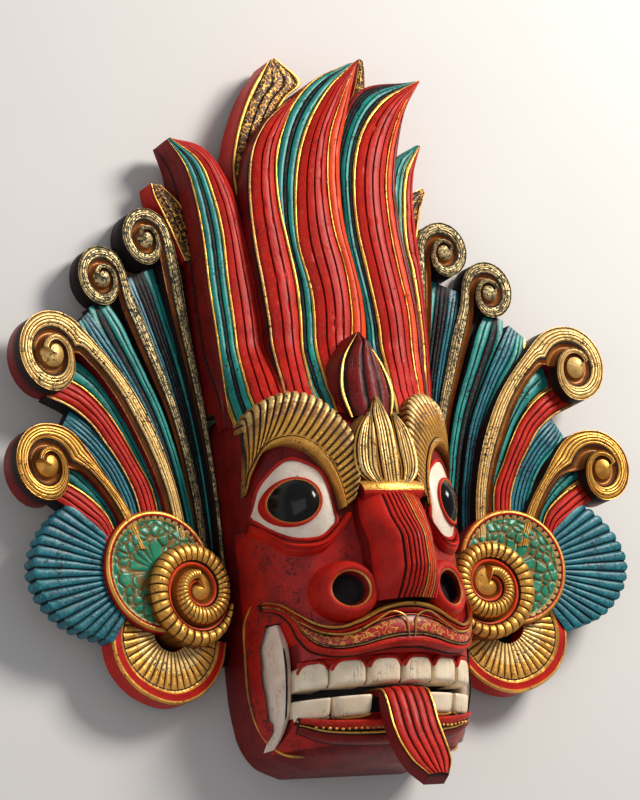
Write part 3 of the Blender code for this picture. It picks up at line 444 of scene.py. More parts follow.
def inlay_tree(palette: Palette) -> Tree:
    """Lays a round bead of paint along drawn lines.

    Args:
        palette: the materials.

    Returns:
        The tree with Radius, Step and Sides inputs.
    """
    tree, wire, given = new_tree("laid_lines", "Geometry", [("Geometry", "Geometry", None), ("Radius",
        "Float", 0.0007), ("Step", "Float", 0.0012), ("Sides", "Int", 7)], [("Geometry", "Geometry")])
    curve = wire.add("GeometryNodeMeshToCurve", i0=given["Geometry"])
    curve = wire.add("GeometryNodeResampleCurve", settings={"mode": "LENGTH"}, Curve=curve,
        Length=given["Step"])
    along = wire.add("GeometryNodeSplineParameter", out="Factor")
    off_middle = wire.math("ABSOLUTE", wire.math("MULTIPLY_ADD", along, 2.0, -1.0))
    taper = wire.ramp(off_middle, 0.9, 1.0, 1.0, 0.35)
    waver = wire.math("ADD", 0.7, wire.math("MULTIPLY", wire.noise(wire.add("GeometryNodeInputPosition"),
        160, 2), 0.6))
    radius = wire.math("MULTIPLY", wire.math("MULTIPLY", given["Radius"], taper), waver)
    curve = wire.add("GeometryNodeSetCurveRadius", Curve=curve, Radius=radius)
    ring = wire.add("GeometryNodeCurvePrimitiveCircle", Resolution=given["Sides"], Radius=1.0)
    bead = wire.add("GeometryNodeCurveToMesh", Curve=curve, Profile_Curve=ring, Fill_Caps=True)
    scale = bead.node.inputs.get("Scale")
    if scale is not None:
        tree.links.new(wire.add("GeometryNodeInputRadius"), scale)
    dress_tree(tree, wire, bead, palette)
    return tree


def dab_tree(palette: Palette) -> Tree:
    """Sets a small flattened dab of paint on each drawn point.

    Args:
        palette: the materials.

    Returns:
        The tree with Size and Seed inputs.
    """
    tree, wire, given = new_tree("paint_dabs", "Geometry", [("Geometry", "Geometry", None), ("Size",
        "Float", 0.0014), ("Seed", "Int", 3)], [("Geometry", "Geometry")])
    dab = wire.add("GeometryNodeMeshIcoSphere", Radius=given["Size"], Subdivisions=2)
    dab = wire.add("GeometryNodeStoreNamedAttribute", settings={"data_type": "INT", "domain": "FACE"},
        Geometry=dab, Name="paint", Value=Paint.GOLD)
    size = wire.add("FunctionNodeRandomValue", settings={"data_type": "FLOAT_VECTOR"}, Min=(0.5, 0.5, 0.35),
        Max=(1.3, 0.9, 0.5), Seed=given["Seed"])
    placed = wire.add("GeometryNodeInstanceOnPoints", Points=given["Geometry"], Instance=dab, Scale=size)
    dress_tree(tree, wire, placed, palette)
    return tree


def blend(t: Array, width: Array, values: Array, slope: Array, cell: Array) -> Array:
    """Cubic between the ends of each cell.

    Args:
        t: share of the way through the cell.
        width: length of the cell.
        values: value at each key.
        slope: slope at each key.
        cell: number of the cell.

    Returns:
        The values there.
    """
    rise = (3 - 2 * t) * t * t
    return ((1 - rise) * values[cell] + rise * values[cell + 1] + (t - 1) ** 2 * t * width * slope[cell] +
        (t - 1) * t * t * width * slope[cell + 1])


def spline(points: Plan, count: int) -> Array:
    """Smooth curve through points.

    Args:
        points: the points in order.
        count: number of samples at equal steps of length.

    Returns:
        The samples, one a row.
    """
    pts = np.asarray(points, float)
    step = np.r_[0, np.cumsum(np.linalg.norm(np.diff(pts, axis=0), axis=1))]
    at = np.linspace(0, step[-1], count)
    cell = np.clip(np.searchsorted(step, at, side="right") - 1, 0, len(pts) - 2)
    width = (step[cell + 1] - step[cell])[:, None]
    return blend((at - step[cell])[:, None] / width, width, pts, np.gradient(pts, step, axis=0), cell)


def smooth(keys: Sequence[float], values: Sequence[float], at: object) -> Array:
    """Monotone value between keys.

    Args:
        keys: rising keys.
        values: the value at each key.
        at: where the value is wanted.

    Returns:
        The values there.
    """
    keys, values = np.asarray(keys, float), np.asarray(values, float)
    at = np.clip(at, keys[0], keys[-1])
    cell = np.clip(np.searchsorted(keys, at, side="right") - 1, 0, len(keys) - 2)
    delta = np.diff(values) / np.diff(keys)
    product = delta[1:] * delta[:-1]
    inner = np.where(product > 0, 2 * product / (delta[1:] + delta[:-1] + 1e-12), 0)
    width = keys[cell + 1] - keys[cell]
    return blend((at - keys[cell]) / width, width, values, np.r_[delta[0], inner, delta[-1]], cell)


def between(rails: Sequence[Array], shares: Array) -> Array:
    """Plan grid over rails.

    Args:
        rails: lines of equal length, side by side.
        shares: fractional rail positions.

    Returns:
        The points, one row for each step along the rails.
    """
    stack = np.asarray(rails)
    shares = np.asarray(shares, float)
    low = np.clip(shares.astype(int), 0, len(stack) - 2)
    part = (shares - low)[:, None, None]
    return np.swapaxes((1 - part) * stack[low] + part * stack[low + 1], 0, 1)


@dataclass(frozen=True)
class Band:
    """A painted strip of a fluted form.

    share is its part of the width, flutes the valleys cut inside it, crown how far its middle stands
    over its edges, level its step over the strip's own height and depth the share of a full valley.
    """

    share: float
    paint: Paint
    flutes: int = 0
    crown: float = 0.0
    level: float = 0.0
    depth: float = 1.0


@dataclass
class Columns:
    """Columns of points across a fluted form."""

    at: Array
    lift: Array
    phase: Array
    flute: Array
    paint: list[int]


FLUTE_STEPS = (0.0, 0.13, 0.3, 0.5, 0.7, 0.87)
THIN_STEPS = (0.0, 0.25, 0.75)
THIN_SHARE = 0.07
WALL_STEPS = 3


def columns(bands: Sequence[Band]) -> Columns:
    """Spread bands over a width of 1.

    Args:
        bands: the bands from left to right.

    Returns:
        The columns, with one paint for each cell between two.
    """
    total = sum(band.share for band in bands)
    rows, start, passed = [], 0.0, 0
    for band in bands:
        count = band.flutes + 1
        share = band.share / total
        steps = THIN_STEPS if share / count < THIN_SHARE and not band.flutes else FLUTE_STEPS
        for k in range(count):
            for step in steps:
                place = (k + step) / count
                lift = band.level + band.crown * (1 - (2 * place - 1) ** 2)
                rows.append((start + share * place, lift, passed + k + step, band.depth, band.paint))
        start += share
        passed += count
    rows.append((1.0, bands[-1].level, float(passed), bands[-1].depth, 0))
    at, lift, phase, flute, paint = zip(*rows)
    return Columns(np.array(at), np.array(lift), np.array(phase), np.array(flute), list(paint[:-1]))


class Sheet:
    """A closed body in mask units, with a paint for each face and flutes for each point."""

    laid = 0

    def __init__(self, points: Array, faces: list, paint: Sequence[int], phase: object = 0.5, flute:
            object = 0.0, strip: Array | None = None, hammer: object = 0.0) -> None:
        """Keep the body; single values are spread over all points."""
        count = len(points)
        self.points = np.asarray(points, float)
        self.faces = faces
        self.paint = list(paint)
        self.phase, self.flute, self.hammer = (
            np.broadcast_to(np.asarray(value, float), count).copy() for value in (phase, flute, hammer))
        if strip is None:
            strip = self.points[:, :2] * UNIT
        Sheet.laid += 1
        self.strip = np.asarray(strip, float) + np.array([0.37, 1.13]) * Sheet.laid

    def mirrored(self) -> "Sheet":
        """The same body on the other side of the midline."""
        return Sheet(self.points * (-1, 1, 1), self.faces, self.paint, self.phase, self.flute,
            self.strip.copy(), self.hammer)


def grid_sheet(top: Array, paint: object, floor: float | Array, side: Paint, phase: object = 0.5,
        flute: object = 0.0, wall_flutes: float = 0.0) -> Sheet:
    """Closed body under a grid of top points.

    Args:
        top: points (rows, columns, 3).
        paint: paint of each column cell, or of each cell.
        floor: height of the bottom.
        side: paint of the walls.
        phase: flute phase of the top points.
        flute: their valley depth.
        wall_flutes: share of the flutes on the walls.

    Returns:
        The body.
    """
    n, m = top.shape[:2]
    floor = np.broadcast_to(np.asarray(floor, float), (n,))

    def spread(value: object, rest: float, kept: float = 0.0) -> Array:
        """Values of the top grid with the walls' own values beside them."""
        full = np.full((n, m + 2 * WALL_STEPS), rest)
        inner = np.broadcast_to(np.asarray(value, float), (n, m))
        full[:, WALL_STEPS:-WALL_STEPS] = inner
        if wall_flutes:
            full[:, :WALL_STEPS] = inner[:, :1] * kept
            full[:, -WALL_STEPS:] = inner[:, -1:] * kept
        return full

    drop = np.linspace(1, 0, WALL_STEPS + 1)[:-1] ** 1.6
    left, right = (np.repeat(edge, WALL_STEPS, 1) for edge in (top[:, :1], top[:, -1:]))
    left[..., 2] += (floor[:, None] - left[..., 2]) * drop[None, :]
    right[..., 2] += (floor[:, None] - right[..., 2]) * drop[None, ::-1]
    full = np.concatenate([left, top, right], axis=1)
    wide = full.shape[1]
    walls = np.full((n, WALL_STEPS), side)
    cells = np.concatenate([walls, np.broadcast_to(np.asarray(paint), (n, m - 1)), walls], axis=1)
    faces, paints = [], []
    for i in range(n - 1):
        here, after = i * wide, (i + 1) * wide
        faces += [[here + k, after + k, after + k + 1, here + k + 1] for k in range(wide - 1)]
        paints += cells[i].tolist()
        faces.append([here, here + wide - 1, after + wide - 1, after])
        paints.append(Paint.WOOD)
    faces += [list(reversed(range(wide))), list(range((n - 1) * wide, n * wide))]
    paints += [side] * 2
    across = np.r_[0, np.cumsum(np.linalg.norm(np.diff(full, axis=1), axis=2).mean(axis=0))]
    along = np.r_[0, np.cumsum(np.linalg.norm(np.diff(full[:, wide // 2], axis=0), axis=1))]
    strip = np.stack(np.broadcast_arrays(across[None, :], along[:, None]), -1).reshape(-1, 2) * UNIT
    return Sheet(full.reshape(-1, 3), faces, paints, spread(phase, 0.5, 1.0).ravel(), spread(flute, 0.0,
        wall_flutes).ravel(), strip)


def with_height(plan: Array, height: object) -> Array:
    """A plan grid and its heights as one grid of points."""
    return np.concatenate([plan, np.broadcast_to(height, plan.shape[:2])[:, :, None]], axis=2)


def fluted_strip(rails: Sequence[Array], bands: Sequence[Sequence[Band]], root: Sequence[float], tip:
        Sequence[float], floor: float | Array, valley: float, side: Paint, tip_drop: float = 0.0, lay:
        Callable | None = None) -> Sheet:
    """A fluted, banded body over rails that run from root to tip.

    Args:
        rails: plan lines side by side.
        bands: the bands of each gap between two rails.
        root: height at each rail's root.
        tip: height at each rail's tip.
        floor: height of the bottom.
        valley: depth of a full flute in metres.
        side: paint of the walls.
        tip_drop: how far the last sixth rounds down.
        lay: raises the heights over another body.

    Returns:
        The body.
    """
    parts = [columns(group) for group in bands]
    passed = np.r_[0, np.cumsum([part.phase[-1] for part in parts])]

    def join(word: str, shift: Sequence[float] = (0,) * 9) -> Array:
        """One kind of value over all gaps."""
        values = [getattr(part, word)[:-1] + more for part, more in zip(parts, shift)]
        return np.r_[np.concatenate(values), getattr(parts[-1], word)[-1] + shift[len(parts) - 1]]

    shares, lift = join("at", range(len(parts))), join("lift")
    along = np.linspace(0, 1, len(rails[0]))[:, None]
    edge, end = (np.interp(shares, range(len(rails)), ends) for ends in (root, tip))
    fade = np.clip((1 - along) / 0.15, 0.15, 1)
    height = edge + (end - edge) * along ** 2 + lift[None, :] * fade
    height = height - tip_drop * np.clip((along - 0.85) / 0.15, 0, 1) ** 2
    plan = between(rails, shares)
    if lay is not None:
        height = lay(plan, height)
    paint = [value for part in parts for value in part.paint]
    return grid_sheet(with_height(plan, height), paint, floor, side, join("phase", passed)[None, :], valley
        * join("flute")[None, :] * fade)


def spiral_sheet(outer: Array, inner: Array, start: int, per_turn: int, shape: Columns, heights: Array,
        floor: float, centre: tuple, side: Paint, phase: Array, flute: Array) -> Sheet:
    """Closed body of a band that winds inwards, each wind welded to the next.

    Args:
        outer: the band's outer edge.
        inner: its inner edge.
        start: row where the winding starts.
        per_turn: rows in one turn.
        shape: the columns across the band.
        heights: height of each row.
        floor: height of the bottom.
        centre: the eye's point.
        side: paint of the walls.
        phase: flute phases over the band.
        flute: valley depths over it.

    Returns:
        The body.
    """
    n, m = len(outer), len(shape.at)
    inner = np.array([outer[i + per_turn] if start <= i < n - per_turn else inner[i] for i in range(n)])
    top = with_height(between([outer, inner], shape.at), heights[:, None] + shape.lift[None, :])
    ends = start + per_turn + 1
    middle_point = np.array(centre, float)
    middle_point[:2] += 0.3 * (inner[n - 1 - per_turn + per_turn // 4] - middle_point[:2])
    foot = np.vstack([outer[:ends], inner[:start]])
    extra = np.vstack([np.c_[foot, np.full(len(foot), floor)], [middle_point]])
    points = np.vstack([top.reshape(-1, 3), extra])

    def at(row: int, column: int) -> int:
        """Number of a grid point; the inner edge is the next wind's outer edge."""
        welded = column == m - 1 and start <= row < n - per_turn
        return (row + per_turn) * m if welded else row * m + column

    low, low_inner, middle = n * m, n * m + ends, len(points) - 1
    faces = [[at(i, k), at(i + 1, k), at(i + 1, k + 1), at(i, k + 1)] for i in range(n - 1) for k in range(m
        - 1)]
    paint = list(shape.paint) * (n - 1)
    walls = [[at(i, 0), low + i, low + i + 1, at(i + 1, 0)] for i in range(ends - 1)]
    for i in range(start):
        after = low_inner + i + 1 if i + 1 < start else low + ends - 1
        walls.append([at(i, m - 1), at(i + 1, m - 1), after, low_inner + i])
    walls.append([at(0, k) for k in range(m)] + [low_inner if start else low + ends - 1, low])
    faces += walls
    paint += [side] * len(walls)
    faces.append([low + i for i in range(ends)] + [low_inner + i for i in reversed(range(start))])
    paint.append(Paint.WOOD)
    loop = [at(i, m - 1) for i in range(n - 1 - per_turn, n)]
    loop += [at(n - 1, k) for k in reversed(range(1, m - 1))]
    faces += [[loop[i], loop[(i + 1) % len(loop)], middle] for i in range(len(loop))]
    paint += [shape.paint[2]] * len(loop)
    along = np.r_[0, np.cumsum(np.linalg.norm(np.diff(outer, axis=0), axis=1))]
    width = np.linalg.norm(outer - inner, axis=1).mean()
    strip = np.stack(np.broadcast_arrays(shape.at[None, :] * width, along[:, None]), -1).reshape(-1, 2)
    strip = np.vstack([strip, np.zeros((len(extra), 2))]) * UNIT
    rest = np.zeros(len(extra))
    phase = np.r_[np.broadcast_to(phase, (n, m)).ravel(), rest + 0.5]
    flute = np.r_[np.broadcast_to(flute, (n, m)).ravel(), rest]
    used = sorted({v for face in faces for v in face})
    renumber = {v: k for k, v in enumerate(used)}
    return Sheet(points[used], [[renumber[v] for v in face] for face in faces], paint, phase[used],
        flute[used], strip[used])


def turned_sheet(centre: tuple[float, float], radii: tuple[float, float], share: Sequence[float], height:
        Array, paint: Sequence[Paint], floor: float, side: Paint, steps: int, phase: object = 0.5,
        flute: object = 0.0, hammer: object = 0.0) -> Sheet:
    """A round body: rings from the rim inwards, closed by a point.

    Args:
        centre: plan centre.
        radii: half sizes along x and y.
        share: share of the radius of each ring.
        height: height of each ring or point.
        paint: paint of each cell, from the rim inwards.
        floor: height of the bottom.
        side: paint of the wall.
        steps: points round it.
        phase: flute phase of the points.
        flute: their valley depth.
        hammer: their share of hammered scales.

    Returns:
        The body.
    """
    angle = np.linspace(0, 2 * math.pi, steps, endpoint=False)
    share = np.asarray(share, float)
    unit = np.stack([np.cos(angle), np.sin(angle)], -1) * radii
    plan = np.asarray(centre) + unit[:, None, :] * share[None, :, None]
    m = len(share)
    height = np.broadcast_to(height, (steps, m))
    top = with_height(plan, height)
    count = steps * m
    points = np.vstack([top.reshape(-1, 3), np.c_[plan[:, 0], np.full(steps, floor)], [[*centre, height[:,
        -1].mean()]]])
    faces = [[count + i for i in range(steps)]]
    paints = [Paint.WOOD]
    for i in range(steps):
        j = (i + 1) % steps
        faces += [[i * m + k, j * m + k, j * m + k + 1, i * m + k + 1] for k in range(m - 1)]
        paints += list(paint[:m - 1])
        faces += [[i * m + m - 1, j * m + m - 1, len(points) - 1], [i * m, count + i, count + j, j * m]]
        paints += [paint[-1], side]

    def spread(value: object, rest: float) -> Array:
        """Values of the rings with a plain value for the bottom and the middle."""
        return np.r_[np.broadcast_to(np.asarray(value, float), (steps, m)).ravel(), np.full(steps + 1, rest)]

    return Sheet(points, faces, paints, spread(phase, 0.5), spread(flute, 0.0), None, spread(hammer, 0.0))


def rib_rows(ribs: int) -> Array:
    """Phases of the rows that cut a number of ribs across a strip."""
    return np.array([k + step for k in range(ribs) for step in FLUTE_STEPS] + [float(ribs)])


class Carving:
    """A piece of the scene: sheets gathered into one mesh, carved by a modifier tree and then baked."""

    def __init__(self, name: str, palette: Palette, slope: float = 0.0, side: int = 1) -> None:
        """Start an empty piece; slope tilts it like the wing boards, side mirrors it."""
        self.name = name
        self.palette = palette
        self.slope = slope
        self.side = side

    def place(self, points: Array) -> Array:
        """Mask units to metres in the part's frame."""
        x, y, z = np.asarray(points, float).T
        z = z + self.slope * np.maximum(x - WING_ROOT, 0.0)
        return np.stack([self.side * x * UNIT, (y - ORIGIN_Y) * UNIT, z * UNIT], -1)

    def mesh(self, sheets: Sequence[Sheet]) -> Item:
        """One object of all sheets, with their attributes.

        Args:
            sheets: the bodies.

        Returns:
            The linked object with outward normals.
        """
        faces, count = [], 0
        for sheet in sheets:
            faces += [[v + count for v in face] for face in sheet.faces]
            count += len(sheet.points)
        data = bpy.data.meshes.new(self.name)
        data.from_pydata(self.place(np.vstack([sheet.points for sheet in sheets])).tolist(), [], faces)
        for word in ("phase", "flute", "hammer"):
            layer = data.attributes.new(word, "FLOAT", "POINT")
            layer.data.foreach_set("value", np.concatenate([getattr(sheet, word) for sheet in sheets]))
        strip = np.vstack([sheet.strip for sheet in sheets])
        layer = data.attributes.new("strip", "FLOAT_VECTOR", "POINT")
        layer.data.foreach_set("vector", np.c_[strip, np.zeros(len(strip))].ravel())
        layer = data.attributes.new("paint", "INT", "FACE")
        layer.data.foreach_set("value", np.concatenate([sheet.paint for sheet in sheets]).astype(np.int32))
        work = bmesh.new()
        work.from_mesh(data)
        bmesh.ops.recalc_face_normals(work, faces=work.faces)
        work.to_mesh(data)
        work.free()
        item = bpy.data.objects.new(self.name, data)
        bpy.context.scene.collection.objects.link(item)
        return item

    def cut(self, item: Item, cutters: Sequence[Sheet]) -> None:
        """Take cutters away from a piece with exact booleans.

        Args:
            item: the object to cut.
            cutters: closed bodies, whose paint shows on the cut faces.
        """
        group = bpy.data.collections.new(f"{self.name}_cutters")
        made = [self.mesh([cutter]) for cutter in cutters]
        for cutter in made:
            bpy.context.scene.collection.objects.unlink(cutter)
            group.objects.link(cutter)
        step = item.modifiers.new("cut", "BOOLEAN")
        step.operation = "DIFFERENCE"
        step.solver = "EXACT"
        step.operand_type = "COLLECTION"
        step.collection = group
        self.bake(item)
        for cutter in made:
            bpy.data.objects.remove(cutter)
        bpy.data.collections.remove(group)

    @staticmethod
    def bake(item: Item) -> None:
        """Turn the evaluated object into a plain mesh and drop its modifiers."""
        bpy.context.view_layer.update()
        graph = bpy.context.evaluated_depsgraph_get()
        mesh = bpy.data.meshes.new_from_object(item.evaluated_get(graph))
        item.modifiers.clear()
        item.data = mesh

    @staticmethod
    def seat(item: Item, node: str, slot: str) -> Item:
        """Put a finished piece on the body in place of its solid."""
        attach(item, "root")
        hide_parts(node)
        return item

    def finish(self, sheets: Sequence[Sheet], tree: Tree, node: str, slot: str, **sizes: float) -> Item:
        """Build, carve and seat the piece."""
        return self.seat(self.carve(self.mesh(sheets), tree, **sizes), node, slot)

    def carve(self, item: Item, tree: Tree, **sizes: float) -> Item:
        """Run a modifier tree over the piece and bake it.

        Args:
            item: the object to carve.
            tree: the modifier tree.
            **sizes: values of its named inputs.

        Returns:
            The finished object.
        """
        step = item.modifiers.new(tree.name, "NODES")
        step.node_group = tree
        names = {entry.name: entry.identifier for entry in tree.interface.items_tree if entry.in_out ==
            "INPUT"}
        for word, value in sizes.items():
            step[names[word]] = value
        self.bake(item)
        item.data.name = self.name
        item.data.shade_smooth()
        item.data.set_sharp_from_angle(angle=math.radians(SHARP_ANGLE))
        LOG.info("%s: %d faces", self.name, len(item.data.polygons))
        return item


@dataclass(frozen=True)
class Scroll:
    """A wing stem that curls into a volute: its eye, radius, heights, edges and bands."""

    eye: tuple[float, float]
    radius: float
    entry: float
    floor: float
    rim: float
    top: float
    outer: Plan
    inner: Plan
    metal: Paint


@dataclass(frozen=True)
class Plume:
    """A feather between the stems: its two edges, heights and painted bands."""

    left: Plan
    right: Plan
    floor: float
    top: float
    bands: Sequence[Band]


@dataclass(frozen=True)
class Fan:
    """A ribbed fan: where its ribs spring from, its outer edge, ribs, floor and top, and per share of
    the reach the paints, the depth of the valleys and the lift; scallop notches the edge."""

    centre: tuple[float, float]
    edge: Plan
    ribs: int
    floor: float
    top: float
    shares: Sequence[float]
    paints: Sequence[Paint]
    depth: Sequence[float]
    lift: Sequence[float]
    side: Paint
    scallop: float


SCROLLS = (
    Scroll((174, 471), 33, 1.08, 0, 27, 33, ((120, 120), (120, 214), (126, 308), (132, 369), (135, 410),
        (137, 440)), ((126, 120), (127, 214), (137, 308), (146, 363), (153, 405), (158, 446)),
        Paint.SILVER),
    Scroll((225, 429), 34, 1.0, 0, 19, 26, ((134, 150), (137, 212), (152, 300), (168, 350), (180, 385),
        (190, 410)), ((146, 150), (150, 211), (166, 296), (181, 337), (195, 372), (207, 408)),
        Paint.SILVER),
    Scroll((300, 341), 45, 1.25, 12, 38, 52, ((166, 160), (172, 207), (194, 277), (218, 320), (234, 340),
        (245, 352)), ((184, 160), (191, 207), (213, 265), (236, 308), (258, 335), (272, 345)),
        Paint.CREAM_GOLD),
    Scroll((317, 230), 42, 1.45, 12, 38, 52, ((212, 150), (228, 187), (241, 208), (250, 220)), ((232, 150),
        (246, 187), (262, 211), (279, 226)), Paint.GOLD),
)
PLUMES = (
    Plume(((123, 130), (130, 270), (141, 345), (152, 392), (163, 445)), ((142, 130), (150, 260), (168, 330),
        (184, 375), (205, 428)), 0, 15, (Band(0.24, Paint.TEAL, 1, 1.5), Band(0.1, Paint.DARK), Band(0.22,
        Paint.DARK, 1, 1.0), Band(0.44, Paint.BLUE, 4, 1.5, depth=0.8))),
    Plume(((146, 130), (152, 211), (172, 295), (195, 350), (214, 392), (226, 408)), ((160, 130), (168, 211),
        (190, 290), (214, 338), (236, 378), (240, 400)), 0, 19, (Band(0.45, Paint.TEAL, 1, 1.5), Band(0.25,
        Paint.DARK), Band(0.3, Paint.TEAL, 0, 1.0))),
    Plume(((158, 130), (167, 211), (189, 290), (213, 338), (236, 376), (247, 391)), ((176, 130), (184, 211),
        (204, 277), (230, 322), (256, 356), (262, 378)), 0, 24, (Band(0.5, Paint.BLUE, 2, 1.5), Band(0.34,
        Paint.TEAL, 1, 1.5), Band(0.16, Paint.GOLD, 0, 1.0))),
    Plume(((184, 150), (190, 209), (209, 258), (229, 295), (254, 328), (276, 345)), ((196, 150), (204, 215),
        (216, 240), (242, 286), (262, 306), (282, 318)), 8, 28, (Band(0.7, Paint.TEAL, 1, 2.0), Band(0.3,
        Paint.GOLD, 0, 1.0))),
    Plume(((194, 150), (201, 217), (213, 239), (226, 264), (240, 286), (264, 310), (290, 324)), ((208, 150),
        (218, 213), (229, 236), (243, 257), (257, 276), (276, 291), (304, 304)), 8, 31, (Band(0.12,
        Paint.GOLD, 0, 1.0), Band(0.76, Paint.RED, 2, 2.5), Band(0.12, Paint.OLD_GOLD))),
    Plume(((208, 150), (217, 207), (230, 236), (244, 256), (262, 275), (280, 288)), ((226, 150), (238, 203),
        (248, 224), (262, 243), (279, 258), (290, 272)), 8, 27, (Band(0.86, Paint.BLUE, 4, 2.0), Band(0.14,
        Paint.TEAL))),
    Plume(((232, 150), (249, 193), (264, 212), (284, 231), (298, 240)), ((242, 150), (257, 187), (275, 203),
        (294, 215), (310, 222)), 12, 30, (Band(0.72, Paint.TEAL, 1, 2.0), Band(0.28, Paint.GOLD, 0, 1.0))),
    Plume(((242, 150), (256, 186), (275, 203), (300, 217)), ((252, 145), (263, 171), (283, 184), (312,
        203)), 12, 34, (Band(0.12, Paint.GOLD), Band(0.88, Paint.RED, 2, 2.5))),
)
BOARD_OUTLINE = ((119.6, 40), (119.6, 200), (120.6, 260), (124.6, 308), (129.6, 369), (132.6, 403), (134.6,
    440), (150, 462), (176, 440), (206, 420), (232, 385), (250, 340), (262, 290), (268, 240), (262, 190),
    (250, 120), (230, 70), (190, 30), (150, 30))
VOLUTE_TURNS = (-0.25, 0, 0.25, 0.5, 0.75, 1, 1.25, 1.5, 1.75, 2.25)
VOLUTE_RADII = (1, 0.92, 0.84, 0.5, 0.42, 0.36, 0.29, 0.22, 0.16)
BLUE_EDGE = ((293, 198), (318, 178), (333, 157), (341, 131), (336, 108), (322, 88), (303, 73), (279, 64),
    (258, 58))
GOLD_EDGE = ((253, 88), (260, 62), (256, 38), (240, 16), (218, 3), (194, -2), (170, 4), (150, 18), (137,
    36), (130, 58))
FANS = (Fan((214, 128), BLUE_EDGE, 17, 14, 36, (0.38, 0.46, 0.54, 0.62, 0.7, 0.78, 0.86, 0.92, 0.96, 0.985,
    1), [Paint.BLUE] * 10, [1.1] * 10 + [0.6], (-1, -0.6, -0.2, 0, 0.2, 0.2, 0, -0.4, -0.8, -1.4, -2.6),
    Paint.BLUE, 0.03), Fan((191, 72), GOLD_EDGE, 22, 8, 33, (0.3, 0.4, 0.5, 0.6, 0.7, 0.76, 0.8, 0.82, 0.86,
    0.88, 0.91, 0.94, 0.955, 0.98, 1), [Paint.CREAM_GOLD] * 3 + [Paint.GOLD] * 3 + [Paint.DARK, Paint.GOLD]
    + [Paint.RED] * 4 + [Paint.GOLD] * 2, (1, 1, 1, 1, 1, 0.9, 0.5, 0, 0, 0, 0, 0, 0, 0, 0), (-1.4, -1.2,
    -0.8, -0.6, -0.5, -0.6, -1.2, -1.4, 0.8, 0.6, 0, -0.2, 0.8, 0.7, -1.6), Paint.RED, 0),)
BOSS_TURNS = (-0.2, 0, 0.25, 0.5, 0.75, 1, 1.25, 1.5, 1.75, 2, 2.5)
BOSS_REACH = (42, 54, 52, 47, 37, 33, 25, 20, 14, 9, 5)


def slab_sheet(outline: Plan, floor: float, top: float, face: Paint, side: Paint) -> Sheet:
    """A flat board over a plan outline.

    Args:
        outline: the plan corners in order.
        floor: height of its bottom.
        top: height of its top.
        face: paint of the top.
        side: paint of the walls.

    Returns:
        The body, bare wood below.
    """
    flat = np.asarray(outline, float)
    n = len(flat)
    points = np.vstack([np.c_[flat, np.full(n, top)], np.c_[flat, np.full(n, floor)]])
    faces = [list(range(n)), list(reversed(range(n, 2 * n)))]
    faces += [[i, n + i, n + (i + 1) % n, (i + 1) % n] for i in range(n)]
    return Sheet(points, faces, [face, Paint.WOOD] + [side] * n)


